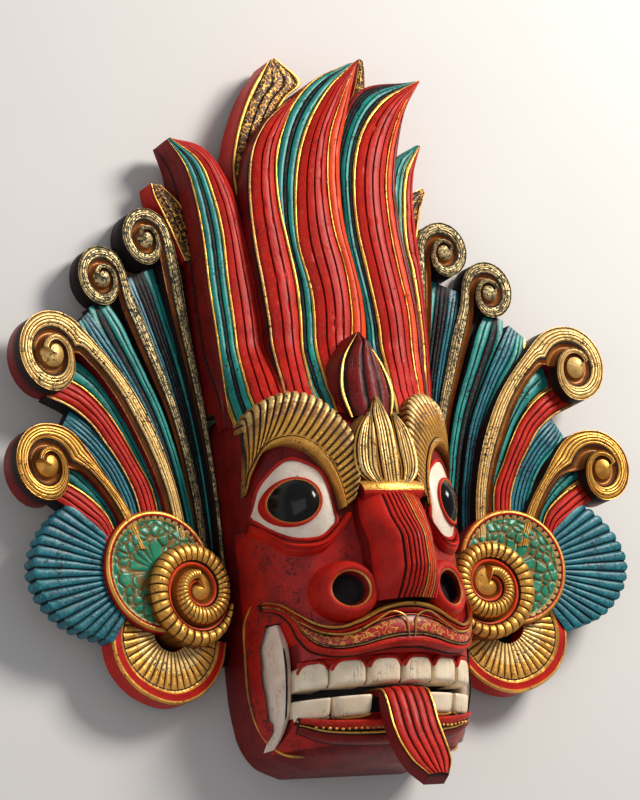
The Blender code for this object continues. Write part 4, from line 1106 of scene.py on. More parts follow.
@dataclass
class Wing:
    """One wing: scrolls, plumes, the ear disc with its spiral boss, and two ribbed fans."""

    palette: Palette
    side: int
    valley: float = 0.0013
    board: float = 10.0
    row_step: float = 2.4
    volute_steps: int = 64
    volute_end: float = 1.2
    disc_centre: tuple[float, float] = (203, 128)
    disc_radius: float = 61
    disc_steps: int = 168
    boss_eye: tuple[float, float] = (167, 107)
    boss_ribs: int = 34
    boss_start: float = -0.2
    boss_end: float = 1.5

    @property
    def word(self) -> str:
        """Left or right."""
        return "left" if self.side < 0 else "right"

    def plume(self, spec: Plume) -> Sheet:
        """One fluted feather."""
        length = np.linalg.norm(np.diff(np.asarray(spec.left, float), axis=0), axis=1).sum()
        rows = int(length / self.row_step)
        rails = [spline(spec.left, rows), spline(spec.right, rows)]
        across = rails[1] - rails[0]
        across *= 2.5 / np.linalg.norm(across, axis=1, keepdims=True)
        rails = [rails[0] - across, rails[1] + across]
        return fluted_strip(rails, [spec.bands], [spec.top] * 2, [spec.top] * 2, spec.floor, self.valley,
            Paint.DARK, tip_drop=3)

    def scroll(self, spec: Scroll) -> Sheet:
        """One grooved stem with its volute.

        Args:
            spec: its sizes.

        Returns:
            The body.
        """
        eye = np.array(spec.eye, float)
        radii = np.array((spec.entry,) + VOLUTE_RADII) * spec.radius

        def rim(turn: object) -> Array:
            """The spiral's edge at a number of turns."""
            angle = math.pi / 2 - 2 * math.pi * np.asarray(turn, float)
            reach = smooth(VOLUTE_TURNS, radii, turn)[..., None]
            return eye + reach * np.stack([np.cos(angle) * 0.9, np.sin(angle)], -1)

        length = np.linalg.norm(np.diff(np.asarray(spec.outer, float), axis=0), axis=1).sum()
        stem = int(length / self.row_step)
        steps = self.volute_steps
        turn = np.arange(-0.25 * steps, self.volute_end * steps + 1) / steps
        over = [tuple(rim(share)) for share in (-0.08, -0.04, 0.0)]
        rise_rows = stem + int(0.25 * steps)
        outer = np.vstack([spline((*spec.outer, *over), rise_rows + 1)[:-1], rim(turn[turn >= 0])])
        inner = np.vstack([spline((*spec.inner, tuple(rim(0.75))), stem + 1)[:-1], rim(turn + 1)])
        shape = columns((Band(0.07, spec.metal, 0, 0.6, 0.3, 0.5), Band(0.58, spec.metal, 3, 2.6),
            Band(0.05, Paint.DARK, 0, 0, -0.4, 0.6), Band(0.3, Paint.AMBER, 0, -2.8, -1.4, 0)))
        shape.lift[-1] = 0.0
        rise = np.r_[np.zeros(stem), np.linspace(0, 1, len(turn))]
        heights = spec.rim + rise * (spec.top - spec.rim)
        wall = Paint.DEEP_RED if spec.floor else Paint.DARK
        return spiral_sheet(outer, inner, stem, steps, shape, heights, spec.floor, (*spec.eye, spec.top + 3),
            wall, shape.phase[None, :], self.valley * 0.8 * shape.flute[None, :])

    def fan(self, spec: Fan) -> Sheet:
        """A ribbed fan between an inner arc and an outer edge.

        Args:
            spec: its sizes.

        Returns:
            The body.
        """
        fine = 30
        phase = rib_rows(spec.ribs)
        centre = np.asarray(spec.centre, float)
        reach = spline(spec.edge, spec.ribs * fine + 1)[np.round(phase * fine).astype(int)] - centre
        apart = np.abs(phase - np.round(phase))
        shares = np.asarray(spec.shares)
        notch = (spec.scallop * (1 - 2 * apart) ** 2)[:, None] * (shares >= 0.99)[None, :]
        plan = centre + reach[:, None, :] * (shares[None, :] - notch)[:, :, None]
        height = np.broadcast_to(spec.top + np.asarray(spec.lift)[None, :], plan.shape[:2])
        return grid_sheet(with_height(plan, height), spec.paints, spec.floor, spec.side, phase[:, None],
            self.valley * np.asarray(spec.depth)[None, :], wall_flutes=1.0)

    def disc(self) -> Sheet:
        """The ear disc: a red and gold rim round hammered green scales."""
        rim_share = (1.0, 0.985, 0.955, 0.93, 0.905, 0.89, 0.86, 0.84)
        rim_height = (38, 40.5, 42, 42, 41.4, 41.8, 41, 38.6)
        rim_paint = [Paint.RED, Paint.GOLD, Paint.GOLD, Paint.RED, Paint.DARK, Paint.CREAM_GOLD,
            Paint.CREAM_GOLD]
        field = np.linspace(0.825, 0.42, 26)
        share = np.r_[rim_share, field]
        height = np.r_[rim_height, 38.6 + 2.2 * np.sin(np.linspace(0.0, 1.0, len(field)) * math.pi)]
        scales = np.r_[np.zeros(len(rim_share)), 0.4, np.ones(len(field) - 1)]
        ribbed = np.zeros(len(share))
        ribbed[5:7] = 0.9
        phase = (np.arange(self.disc_steps) / 4.0)[:, None]
        radii = (self.disc_radius, self.disc_radius)
        return turned_sheet(self.disc_centre, radii, share, height[None, :], rim_paint + [Paint.GREEN] *
            (len(field) + 1), 0, Paint.DEEP_RED, self.disc_steps, phase, self.valley * ribbed[None, :],
            scales[None, :])

    def boss(self) -> Sheet:
        """The spiral boss: a ribbed band, an orange line and an amber groove that wind in together."""
        centre = np.array(self.boss_eye, float)

        def rim(turn: Array) -> Array:
            """The spiral's edge at a number of turns."""
            angle = 2 * math.pi * turn - math.pi / 2
            reach = smooth(BOSS_TURNS, BOSS_REACH, turn)[..., None]
            return centre + reach * np.stack([np.cos(angle), np.sin(angle)], -1)

        per_rib = 7
        per_turn = self.boss_ribs * per_rib
        rows = int((self.boss_end - self.boss_start) * per_turn)
        turn = np.arange(rows + 1) / per_turn + self.boss_start
        at = np.array([0, 0.05, 0.14, 0.28, 0.44, 0.58, 0.64, 0.69, 0.73, 0.78, 0.82, 0.9, 1.0])
        lift = np.array([0, 4.2, 6.6, 7.8, 7.6, 6.4, 4.4, 1.6, 2.6, 2.4, 0.2, -2.0, 0.0])
        paint = [Paint.GOLD] * 6 + [Paint.DARK] + [Paint.ORANGE] * 3 + [Paint.AMBER] * 2
        flute = np.array([0.4, 0.9, 1, 1, 1, 0.9, 0.5, 0, 0, 0, 0, 0, 0]) * self.valley
        phase = (np.arange(rows + 1) / per_rib)[:, None]
        fade = np.clip((self.boss_end - turn) * 2.0, 0.25, 1.0)
        shape = Columns(at, lift, np.zeros(len(at)), np.zeros(len(at)), paint)
        return spiral_sheet(rim(turn), rim(turn + 1), 0, per_turn, shape, 46 + 5 * turn, 6, (*self.boss_eye,
            58), Paint.AMBER, phase, flute[None, :] * fade[:, None])

    def build(self, tree: Tree) -> Item:
        """Carve the wing and put it in place of its solid.

        Args:
            tree: the flute tree.

        Returns:
            The finished wing.
        """
        sheets = [slab_sheet(BOARD_OUTLINE, 0, self.board, Paint.DARK, Paint.WOOD)]
        sheets += [self.plume(spec) for spec in PLUMES] + [self.scroll(spec) for spec in SCROLLS]
        sheets += [*(self.fan(spec) for spec in FANS), self.disc(), self.boss()]
        carving = Carving(f"{self.word}_wing_carving", self.palette, WING_SLOPE, self.side)
        return carving.finish(sheets, tree, f"{self.word}_wing", "gold_wing", Rounding=0.14, Width=0.17,
            Seed=3.0 + self.side)


@dataclass(frozen=True)
class Flame:
    """A crest flame: rails from root to tip, heights at both ends, bands of each gap and side paint."""

    rails: Sequence[Plan]
    root: Sequence[float]
    tip: Sequence[float]
    bands: Sequence[Sequence[Band]]
    side: Paint
    tuck: tuple[float, float] = (0, 0)


TEAL_LINES = (Band(0.12, Paint.GOLD, 0, 1.2), Band(0.3, Paint.TEAL, 0, 1.6), Band(0.13, Paint.DARK),
    Band(0.3, Paint.TEAL, 0, 1.6), Band(0.15, Paint.GOLD, 0, 1.2))
FLAMES = (
    Flame((((-119, 262), (-122, 294), (-126, 361), (-128, 417), (-128, 470), (-132, 513), (-137, 545),
        (-149, 571)), ((-116, 262), (-118, 294), (-121, 361), (-123, 417), (-123, 470), (-126, 513), (-132,
        545), (-147, 573)), ((-98, 262), (-101, 294), (-98, 373), (-99, 429), (-98, 471), (-103, 513),
        (-116, 552), (-145, 574)), ((-76, 262), (-74, 300), (-69, 340), (-67, 384), (-69, 430), (-76, 478),
        (-84, 525), (-112, 568), (-143, 575))), (38, 62, 64, 60), (26, 50, 52, 48), ((Band(1,
        Paint.DEEP_RED),), TEAL_LINES, (Band(1, Paint.RED, 3, 4.5),)), Paint.DEEP_RED, (0, 6)),
    Flame((((-76, 262), (-73, 312), (-69, 369), (-71, 414), (-74, 470), (-73, 500), (-69, 532), (-59, 565),
        (-44, 588), (-5, 622)), ((-45, 262), (-42, 313), (-33, 359), (-30, 404), (-35, 463), (-38, 490),
        (-38, 523), (-32, 560), (-19, 589), (-3, 620))), (78, 82), (60, 66), ((Band(0.1, Paint.OLD_GOLD, 0,
        1.0), Band(0.8, Paint.RED, 2, 5.0), Band(0.1, Paint.GOLD, 0, 1.0)),), Paint.DEEP_RED),
    Flame((((-47, 262), (-44, 313), (-35, 359), (-32, 404), (-37, 463), (-39, 490), (-38, 523), (-30, 560),
        (-14, 600), (22, 641), (70, 665)), ((-30, 262), (-25, 313), (-17, 358), (-14, 404), (-23, 462),
        (-20, 502), (-11, 546), (2, 579), (38, 632), (72, 664)), ((2, 262), (6, 291), (14, 336), (22, 382),
        (22, 428), (14, 481), (16, 535), (24, 573), (44, 616), (73, 663)), ((20, 262), (26, 300), (38, 350),
        (41, 400), (36, 440), (32, 470), (33, 525), (38, 559), (50, 595), (74, 661))), (74, 80, 88, 84),
        (60, 68, 72, 68), (TEAL_LINES, (Band(1, Paint.RED, 3, 5.0),), (Band(0.14, Paint.GOLD, 0, 1.0),
        Band(0.86, Paint.ORANGE, 1, 3.0))), Paint.RED, (6, 0)),
    Flame((((18, 262), (28, 306), (40, 360), (40, 410), (31, 464), (32, 500), (38, 560), (55, 600), (80,
        635), (148, 652)), ((40, 262), (50, 300), (60, 361), (55, 430), (50, 480), (53, 527), (62, 563),
        (78, 595), (104, 622), (150, 650)), ((84, 262), (88, 315), (91, 350), (93, 390), (88, 436), (85,
        485), (88, 530), (101, 575), (120, 612), (151, 649)), ((100, 262), (106, 309), (110, 363), (108,
        420), (102, 486), (104, 530), (116, 580), (131, 618), (152, 648))), (70, 80, 82, 76), (54, 64, 66,
        62), ((Band(0.16, Paint.DEEP_RED), Band(0.22, Paint.DARK, 1), Band(0.34, Paint.TEAL, 1, 1.6),
        Band(0.12, Paint.DARK), Band(0.16, Paint.GOLD, 0, 1.2)), (Band(1, Paint.RED, 3, 5.0),), (Band(0.15,
        Paint.GOLD, 0, 1.0), Band(0.5, Paint.ORANGE, 0, 2.0), Band(0.35, Paint.DEEP_RED, 0, 1.0))),
        Paint.RED, (6, 0)),
    Flame((((100, 262), (106, 309), (109, 363), (107, 420), (102, 486), (108, 530), (124, 568), (150, 584)),
        ((112, 262), (117, 314), (121, 379), (121, 437), (118, 474), (121, 503), (130, 545), (152, 583)),
        ((119, 262), (123, 314), (128, 379), (131, 437), (132, 480), (134, 520), (142, 555), (154, 582))),
        (60, 64, 60), (46, 50, 46), ((Band(0.55, Paint.TEAL, 1, 2.0), Band(0.2, Paint.GREEN), Band(0.25,
        Paint.GOLD, 0, 1.0)), (Band(1, Paint.RED, 1, 2.0),)), Paint.RED, (6, 0)),
)
BACK_LEAVES = ((((-62, 460), (-72, 555), (-64, 585), (-55, 608), (-38, 640), (-16, 668)), ((-30, 460), (-34,
    560), (-18, 600), (2, 630), (20, 645), (-8, 672)), 10, 44), (((48, 560), (60, 600), (78, 640), (90,
    676)), ((72, 560), (88, 600), (92, 640), (95, 672)), 20, 50), (((-132, 450), (-150, 495), (-160, 520),
    (-161, 531)), ((-112, 450), (-120, 490), (-128, 508), (-150, 530)), 4, 32), (((112, 450), (120, 500),
    (136, 530), (158, 541)), ((134, 450), (146, 490), (152, 515), (161, 536)), 4, 34))


@dataclass
class Crest:
    """The flames of the crest and the small gold leaves behind them."""

    palette: Palette
    valley: float = 0.0016
    rows: int = 190
    leaf_rows: int = 60
    foot_start: float = 268
    solid_y: float = 290
    tip_rise: float = 20
    cover: float = 16
    proud: float = 3.0
    foot_end: float = 362
    foot_length: float = 76

    def flame(self, spec: Flame) -> Sheet:
        """One fluted flame, from inside the head's top to its tip."""
        rails = [spline(rail, self.rows) for rail in spec.rails]
        for k, way in ((0, -spec.tuck[0]), (-1, spec.tuck[1])):
            rails[k] = rails[k] + np.array([way, 0]) * np.linspace(1, 0.2, self.rows)[:, None]
        start = int(np.searchsorted(rails[0][:, 1], self.foot_start))
        rails = [rail[start:] for rail in rails]
        foot = np.min([head(*rail.T) for rail in (rails[0], rails[-1])], axis=0) - self.cover
        curl = self.tip_rise * np.clip(np.linspace(-1.5, 1, len(foot)), 0, 1) ** 2
        floor = np.where(rails[0][:, 1] < self.solid_y, np.maximum(foot, 4), curl)
        return fluted_strip(rails, spec.bands, spec.root, spec.tip, floor, self.valley, spec.side,
            lay=self.on_forehead)

    def on_forehead(self, plan: Array, height: Array) -> Array:
        """Raise a flame's foot over the top of the face form and down to the brows."""
        over = head(plan[..., 0], np.minimum(plan[..., 1], HEAD_Y[-1])) + self.proud
        share = np.clip((self.foot_end - plan[..., 1]) / self.foot_length, 0, 1)
        share = share * share * (3 - 2 * share)
        return height + np.maximum(over - height, 0) * share

    def leaf(self, left: Plan, right: Plan, floor: float, top: float) -> Sheet:
        """One gold leaf with raised scrolls on a black ground."""
        rails = [spline(left, self.leaf_rows), spline(right, self.leaf_rows)]
        bands = (Band(0.12, Paint.GOLD, 0, 1.0), Band(0.76, Paint.LEAF_RELIEF, 2, 1.5, depth=0.6),
            Band(0.12, Paint.GOLD, 0, 1.0))
        return fluted_strip(rails, [bands], [top] * 2, [top] * 2, floor, self.valley, Paint.RED)

    def build(self, tree: Tree) -> Item:
        """Carve the crest.

        Args:
            tree: the flute tree.

        Returns:
            The finished crest.
        """
        sheets = [self.flame(spec) for spec in FLAMES] + [self.leaf(*spec) for spec in BACK_LEAVES]
        return Carving("crest_flames", self.palette).finish(sheets, tree, "face_block", "red_lacquer",
            Wander=0.3, Width=0.11, Rounding=0.05, Seed=5.0)


HEAD_Y = (-74, -62, -45, -30, 10, 60, 120, 180, 240, 300)
HEAD_FRONT = (78, 106, 124, 136, 150, 158, 152, 148, 140, 112)
HEAD_WIDTH = (70, 96, 109, 114, 118, 118, 118, 118, 119, 118)
HEAD_BASE = 50
MOUTH_Y = (-34, 24)
MOUTH_DROP = 12
MOUTH_MIDDLE = -7.5
MOUTH_HALF = 97
MOUTH_GAP = 9.7
WALL = 20.2
BROW_INNER = ((116, 196), (113, 214), (104, 234), (88, 238), (72, 230), (60, 213), (52, 190), (48, 168))
BROW_OUTER = ((116, 258), (115, 272), (104, 284), (89, 291), (73, 293), (55, 286), (38, 262), (28, 226),
    (31, 198), (40, 176))
EYE_UPPER = ((114, 175), (106, 206), (86, 224), (65, 212), (53, 160))
EYE_LOWER = ((113, 170), (106, 158), (90, 144), (69, 142), (54, 154))
LID_UPPER = ((116, 168), (109, 158), (94, 141), (70, 138), (52, 154), (44, 164))
LID_LOWER = ((116, 158), (107, 145), (94, 129), (70, 127), (52, 143), (40, 158))
NOSE_Y = (192, 176, 154, 126, 102, 84, 72)
NOSE_FRONT = (160, 174, 188, 204, 205, 196, 184)
NOSE_HALF = (26, 34, 36, 33, 34, 36, 36)
LIP_TOP = ((0, 74), (12, 73), (30, 68), (50, 58), (68, 53), (84, 57), (98, 69), (108, 82), (115, 88))
LIP_BOTTOM = ((0, 27), (14, 27), (30, 25), (54, 22), (74, 24), (88, 31), (96, 44), (101, 62), (107, 73),
    (115, 79))
CHIN_TOP = ((0, -34), (27, -35), (55, -34), (80, -31), (96, -27))
CHIN_BOTTOM = ((0, -60), (27, -60), (55, -58), (74, -54), (96, -43))
UPPER_TEETH = ((1.5, 35.5), (37.5, 70), (72, 97))
LOWER_TEETH = ((30, 67), (69, 97))
FOREHEAD_LEAF = ((((-18, 186), (-34, 200), (-36, 224), (-28, 246), (-14, 262)), ((-10, 186), (-12, 205),
    (-10, 225), (-10, 245), (-12, 260))), (((-11, 186), (-13, 210), (-13, 240), (-10, 262), (1, 281)), ((11,
    186), (13, 210), (13, 240), (10, 262), (3, 281))), (((10, 186), (12, 205), (10, 225), (10, 245), (12,
    260)), ((18, 186), (34, 200), (36, 224), (28, 246), (14, 262))),)
BUD = (((-22, 262), (-29, 290), (-22, 320), (5, 354)), ((26, 262), (32, 288), (26, 316), (8, 353)))
CHEEK_POCKET = ((98, -30), (97, 24), (99, 44), (105, 64), (112, 66), (115.4, 45), (115.2, 10), (112, -24),
    (106, -37))
TONGUE_PATH = ((-7.5, 96), (-7.5, 128), (-11, 145), (-24, 152), (-42, 157), (-60, 165), (-78, 176), (-92,
    185), (-100, 190))
TONGUE_SHARE = (1, 1, 1, 1, 1, 1, 0.96, 0.83, 0.42)
TUSK_PATH = ((105, 64, 94), (104, 44, 100), (103, 20, 99), (103, -5, 95), (103, -28, 86), (105, -44, 74),
    (107, -53, 64))
LIP_CURL = ((99, 62), (82, 47), (60, 43), (38, 52), (18, 61), (8, 57), (3, 36))
JAW_LINE = ((116.5, 88, 66), (117.8, 74, 52), (117.8, 40, 46), (117.4, 0, 44), (113.5, -28, 48),
    (107, -46, 56), (98, -58, 66), (84, -64, 82))
TUSK_CRACK = ((104.2, 40, 100.6), (103.2, 20, 99.8), (103.9, -5, 96), (103, -27, 87.4))
TUSK_SHARE = (0.55, 1, 1, 0.92, 0.75, 0.5, 0.15)


def head(x: object, y: object, drop: float = 0.0) -> Array:
    """Height of the face form over plan points.

    Args:
        x: distance from the midline.
        y: height up the mask.
        drop: how far the surface lies below the form.

    Returns:
        The heights.
    """
    front = smooth(HEAD_Y, HEAD_FRONT, y) - drop
    half = smooth(HEAD_Y, HEAD_WIDTH, y)
    share = np.clip(np.abs(x) / half, 0, 0.995)
    return HEAD_BASE + (front - HEAD_BASE) * np.sqrt(1 - share ** 2)


def on_head(plan: Array, lift: object, paint: object, side: Paint, depth: float = 12.0, drop: float =
        0.0, phase: object = 0.5, flute: object = 0.0, wall_flutes: float = 0.0) -> Sheet:
    """A carved strip that stands on the face form.

    Args:
        plan: plan grid (rows, columns, 2).
        lift: height over the form.
        paint: paint values of the cells.
        side: paint of the walls.
        depth: how far the strip reaches into the wood.
        drop: how far the form is sunk there.
        phase: flute phases.
        flute: valley depths.
        wall_flutes: share of the flutes on the walls.

    Returns:
        The body.
    """
    base = head(plan[..., 0], plan[..., 1], drop)
    floor = np.maximum(base[:, [0, -1]].min(axis=1) - depth, 4)
    return grid_sheet(with_height(plan, base + lift), paint, floor, side, phase, flute,
        wall_flutes=wall_flutes)


def both_sides(half: Plan) -> list[tuple[float, float]]:
    """A line over both cheeks from its right-hand half, left end first."""
    return [(-x, y) for x, y in reversed(half[1:])] + list(half)


def with_mirror(sheets: Iterable[Sheet]) -> list[Sheet]:
    """The sheets of the right-hand side and their mirror images."""
    pairs = [[sheet, sheet.mirrored()] for sheet in sheets]
    return [item for pair in pairs for item in pair]


@dataclass
class Face:
    """The head with its hollow, brows, eyes, nose and forehead leaf."""

    palette: Palette
    valley: float = 0.0015
    head_rows: int = 150
    head_columns: int = 120
    brow_ribs: int = 26
    pupil: tuple[float, float] = (88, 180)
    pupil_radius: float = 25
    nostril: tuple[float, float] = (56, 86)
    nostril_radii: tuple[float, float] = (29, 31)
    nose_rows: int = 70
    round_steps: int = 72

    @staticmethod
    def dome(y: Array, front: Array, half: Array, base: float, steps: int) -> Array:
        """Half-round points across the head.

        Args:
            y: height up the mask of each row.
            front: height of its middle.
            half: its half width.
            base: height of its ends.
            steps: points in a row.

        Returns:
            The points (rows, columns, 3).
        """
        angle = np.radians(np.linspace(-90, 90, steps))
        x = half[:, None] * np.sin(angle)[None, :]
        z = base + (front - base)[:, None] * np.cos(angle)[None, :]
        return np.stack([x, np.broadcast_to(y[:, None], x.shape), z], -1)

    def form(self) -> Sheet:
        """The face form, sunk where the teeth stand."""
        rows = np.linspace(HEAD_Y[0], HEAD_Y[-1], self.head_rows)
        y = np.sort(np.r_[rows, MOUTH_Y[0] - 0.6, MOUTH_Y[0], MOUTH_Y[1], MOUTH_Y[1] + 0.6])
        sunk = (y >= MOUTH_Y[0]) & (y <= MOUTH_Y[1])
        front = smooth(HEAD_Y, HEAD_FRONT, y) - np.where(sunk, MOUTH_DROP, 0)
        rounded = np.sqrt(1 - 0.65 * np.clip((y - 258) / 42, 0, 1) ** 3)
        top = self.dome(y, front, smooth(HEAD_Y, HEAD_WIDTH, y) * rounded, HEAD_BASE, self.head_columns)
        row, column = y[:, None], np.abs(top[:, :-1, 0])
        paint = np.full(column.shape, Paint.CHEEK)
        # The deep red below the chin, under the lower lip, is painted shade.
        for place, colour in (((row > 160) | (row < MOUTH_Y[0] - 24) | (column < 0), Paint.DEEP_RED),
                (sunk[:, None] & (column < MOUTH_HALF), Paint.RED), ((row > -30) & (row < 14) & (column <
                MOUTH_HALF), Paint.DARK)):
            paint[place] = colour
        return grid_sheet(top, paint, 0.0, Paint.DEEP_RED)

    def hollow(self) -> Sheet:
        """The hollow behind the face."""
        y = np.linspace(HEAD_Y[0] + 1.3 * WALL, HEAD_Y[-1] - 1.6 * WALL, 24)
        front = smooth(HEAD_Y, HEAD_FRONT, y) - MOUTH_DROP - WALL
        top = self.dome(y, front, smooth(HEAD_Y, HEAD_WIDTH, y) - WALL, HEAD_BASE - WALL, 40)
        return grid_sheet(top, Paint.WOOD, -20.0, Paint.WOOD)

    def cutters(self) -> list[Sheet]:
        """The hollow, the gap between the rows of teeth and the cheek pockets."""
        low, high = MOUTH_MIDDLE - MOUTH_GAP / 2, MOUTH_MIDDLE + MOUTH_GAP / 2
        corners = ((-MOUTH_HALF, low), (MOUTH_HALF, low), (MOUTH_HALF, high), (-MOUTH_HALF, high))
        gap = slab_sheet(corners, 40, 230, Paint.DARK, Paint.DARK)
        # The cheek pockets' cut faces are deep red paint that also stands in for the shade inside the
        # recess.
        pocket = slab_sheet(CHEEK_POCKET, 62, 240, Paint.DEEP_RED, Paint.DEEP_RED)
        pocket.paint = [Paint.DEEP_RED] * len(pocket.paint)
        socket_cut = Mouth(self.palette).tusk(1.0, 90)
        socket_cut.paint = [Paint.DEEP_RED] * len(socket_cut.paint)
        return [self.hollow(), gap, *with_mirror([pocket, socket_cut])]

    def brow(self) -> Sheet:
        """A ribbed shell brow with a smooth gold inner roll."""
        phase = rib_rows(self.brow_ribs)
        fine = 30
        picks = np.round(phase * fine).astype(int)
        rails = [spline(edge, self.brow_ribs * fine + 1)[picks] for edge in (BROW_INNER, BROW_OUTER)]
        shares = np.array([0, 0.03, 0.07, 0.11, 0.14, 0.17, 0.22, 0.3, 0.42, 0.55, 0.68, 0.8, 0.9, 0.96, 1])
        lift = np.array([8, 12, 14.5, 14.5, 13, 11, 13, 14.6, 16.2, 17.6, 18.8, 19.8, 20.2, 19.4, 17])
        depth = np.array([0] * 6 + [0.8] + [1] * 5 + [1.1, 1.2, 1.2])
        paint = [Paint.GOLD] * 4 + [Paint.DARK] + [Paint.GOLD] * 4
        paint += [Paint.OLD_GOLD] * 2
        paint += [Paint.CREAM_GOLD] * 3
        return on_head(between(rails, shares), lift[None, :], paint, Paint.OLD_GOLD, 16, 0, phase[:, None],
            self.valley * depth[None, :], wall_flutes=0.8)

    def eye(self) -> list[Sheet]:
        """The eyeball, its lower lid and the pupil in its rings."""
        rows, across = 44, np.linspace(0, 1, 22)
        plan = between([spline(EYE_UPPER, rows), spline(EYE_LOWER, rows)], across)
        bulge = (1 - (2 * across - 1) ** 2)[None, :] * (1 - np.linspace(-1, 1, rows) ** 2)[:, None]
        ball = on_head(plan, 3 + 7 * bulge, Paint.EYE_WHITE, Paint.RED)
        shares = np.linspace(0, 1, 13)
        lift = np.interp(shares, (0, 0.15, 0.33, 0.47, 0.62, 0.8, 1), (5, 10, 12, 8, 9.5, 6, 0))
        lid = on_head(between([spline(LID_UPPER, 50), spline(LID_LOWER, 50)], shares), lift[None, :],
            Paint.RED, Paint.DEEP_RED)
        share = np.array([1.0, 0.985, 0.95, 0.91, 0.89, 0.86, 0.84, 0.81, 0.74, 0.64, 0.52, 0.38, 0.2])
        dome = 21.5 - 9.5 * (share / 0.81) ** 2.2
        lift = np.where(share < 0.82, dome, np.interp(share, (0.84, 0.88, 0.95, 1.0), (11.4, 12.2, 12, 7)))
        paint = [Paint.RED] * 3 + [Paint.ORANGE] * 2 + [Paint.GOLD] + [Paint.BLACK] * 8
        return [ball, lid, self.round(self.pupil, (0.9 * self.pupil_radius, self.pupil_radius), share, lift,
            paint, Paint.RED)]

    def round(self, centre: tuple[float, float], radii: tuple[float, float], share: Sequence[float], lift:
            Sequence[float], paint: Sequence[Paint], side: Paint) -> Sheet:
        """A round form that stands on the face.

        Args:
            centre: plan centre.
            radii: half sizes.
            share: share of the radius of each ring, from the rim inwards.
            lift: height over the face of each ring.
            paint: paint of each ring and of the middle.
            side: paint of the wall.

        Returns:
            The body.
        """
        angle = np.linspace(0, 2 * math.pi, self.round_steps, endpoint=False)
        unit = np.stack([np.cos(angle), np.sin(angle)], -1) * radii
        plan = np.array(centre) + unit[:, None, :] * np.asarray(share)[None, :, None]
        height = head(plan[..., 0], plan[..., 1]) + np.asarray(lift)[None, :]
        return turned_sheet(centre, radii, share, height, paint, height[:, 0].min() - 12, side,
            self.round_steps)

    def nostrils(self) -> list[Sheet]:
        """The rolled rims of both nostrils round their black holes."""
        share = np.array([1.0, 0.97, 0.92, 0.86, 0.8, 0.72, 0.66, 0.6, 0.56, 0.52, 0.49, 0.46, 0.44, 0.3])
        lift = np.array([-2, 6, 12.5, 16.6, 19.0, 20.4, 20.4, 19, 17.4, 15.4, 11, 4, 0.8, 0.5])
        paint = [Paint.RED] * 7 + [Paint.GOLD] + [Paint.DEEP_RED] * 2 + [Paint.DARK] * 4
        return with_mirror([self.round(self.nostril, self.nostril_radii, share, lift, paint, Paint.RED)])

    def nose(self) -> Sheet:
        """The nose: a smooth red left side, then a mane of grooves with two gold lines."""
        bands = (Band(0.27, Paint.RED, 0, 0, 0, 0), Band(0.33, Paint.RED, 4, 1.5), Band(0.035, Paint.GOLD,
            0, 1.2), Band(0.11, Paint.ORANGE, 1, 1.0), Band(0.035, Paint.GOLD, 0, 1.2), Band(0.22,
            Paint.RED, 2, 1.5))
        shape = columns(bands)
        shares = 2 * shape.at - 1
        y = np.linspace(NOSE_Y[0], NOSE_Y[-1], self.nose_rows)
        half = smooth(NOSE_Y[::-1], NOSE_HALF[::-1], y)
        front = smooth(NOSE_Y[::-1], NOSE_FRONT[::-1], y)
        plan = np.stack([half[:, None] * shares[None, :], np.broadcast_to(y[:, None], (len(y),
            len(shares)))], -1)
        base = head(plan[..., 0], plan[..., 1])
        rise = (front[:, None] - base) * np.sqrt(1 - 0.9 * shares ** 2)[None, :]
        return on_head(plan, rise + 0.6 * shape.lift[None, :], shape.paint, Paint.DEEP_RED, 14, 0,
            shape.phase[None, :], 0.8 * self.valley * shape.flute[None, :])

    def forehead(self) -> list[Sheet]:
        """Three fluted gold leaves over a rolled bar, and the red bud behind them."""
        sheets = []
        rows = 54
        leaf = columns((Band(0.1, Paint.GOLD, 0, 1.0), Band(0.8, Paint.CREAM_GOLD, 5, 3.0), Band(0.1,
            Paint.GOLD, 0, 1.0)))
        vault = np.interp(leaf.at, (0, 0.25, 0.5, 0.75, 1), (10, 16, 14, 16, 10))
        for left, right in FOREHEAD_LEAF:
            plan = between([spline(left, rows), spline(right, rows)], leaf.at)
            lift = vault[None, :] + np.linspace(6, 14, rows)[:, None] + 0.4 * leaf.lift[None, :]
            sheets.append(on_head(plan, lift, leaf.paint, Paint.OLD_GOLD, 30, 0, leaf.phase[None, :],
                self.valley * leaf.flute[None, :]))
        bar = [spline(((-36, 194), (0, 197), (36, 194)), 40), spline(((-32, 172), (0, 168), (32, 172)), 40)]
        shares = np.linspace(0, 1, 15)
        lift = 12 + 12.5 * (1 - np.abs(2 * shares - 1) ** 2.6)
        paint = [Paint.GOLD] * 8 + [Paint.RED] * 6
        sheets.append(on_head(between(bar, shares), lift[None, :], paint, Paint.DEEP_RED, 20))
        rails = [spline(edge, rows) for edge in BUD]
        bands = (Band(0.08, Paint.GOLD), Band(0.84, Paint.DEEP_RED, 2, 12.0), Band(0.08, Paint.GOLD))
        sheets.append(fluted_strip(rails, [bands], [138, 138], [124, 124], 60, self.valley, Paint.DEEP_RED))
        return sheets

    def build(self, tree: Tree) -> list[Item]:
        """Carve the head, with its hollow cut out, and its features.

        Args:
            tree: the flute tree.

        Returns:
            The finished pieces.
        """
        carving = Carving("head_form", self.palette)
        form = carving.mesh([self.form()])
        carving.cut(form, self.cutters())
        form = carving.seat(carving.carve(form, tree, Grain=0.0003, Seed=7.0), "face_block", "red_lacquer")
        sheets = with_mirror([self.brow(), *self.eye()]) + [self.nose(), *self.nostrils(), *self.forehead()]
        return [form, Carving("face_features", self.palette).finish(sheets, tree, "face_block",
            "red_lacquer", Rounding=0.2, Width=0.24, Seed=8.0)]


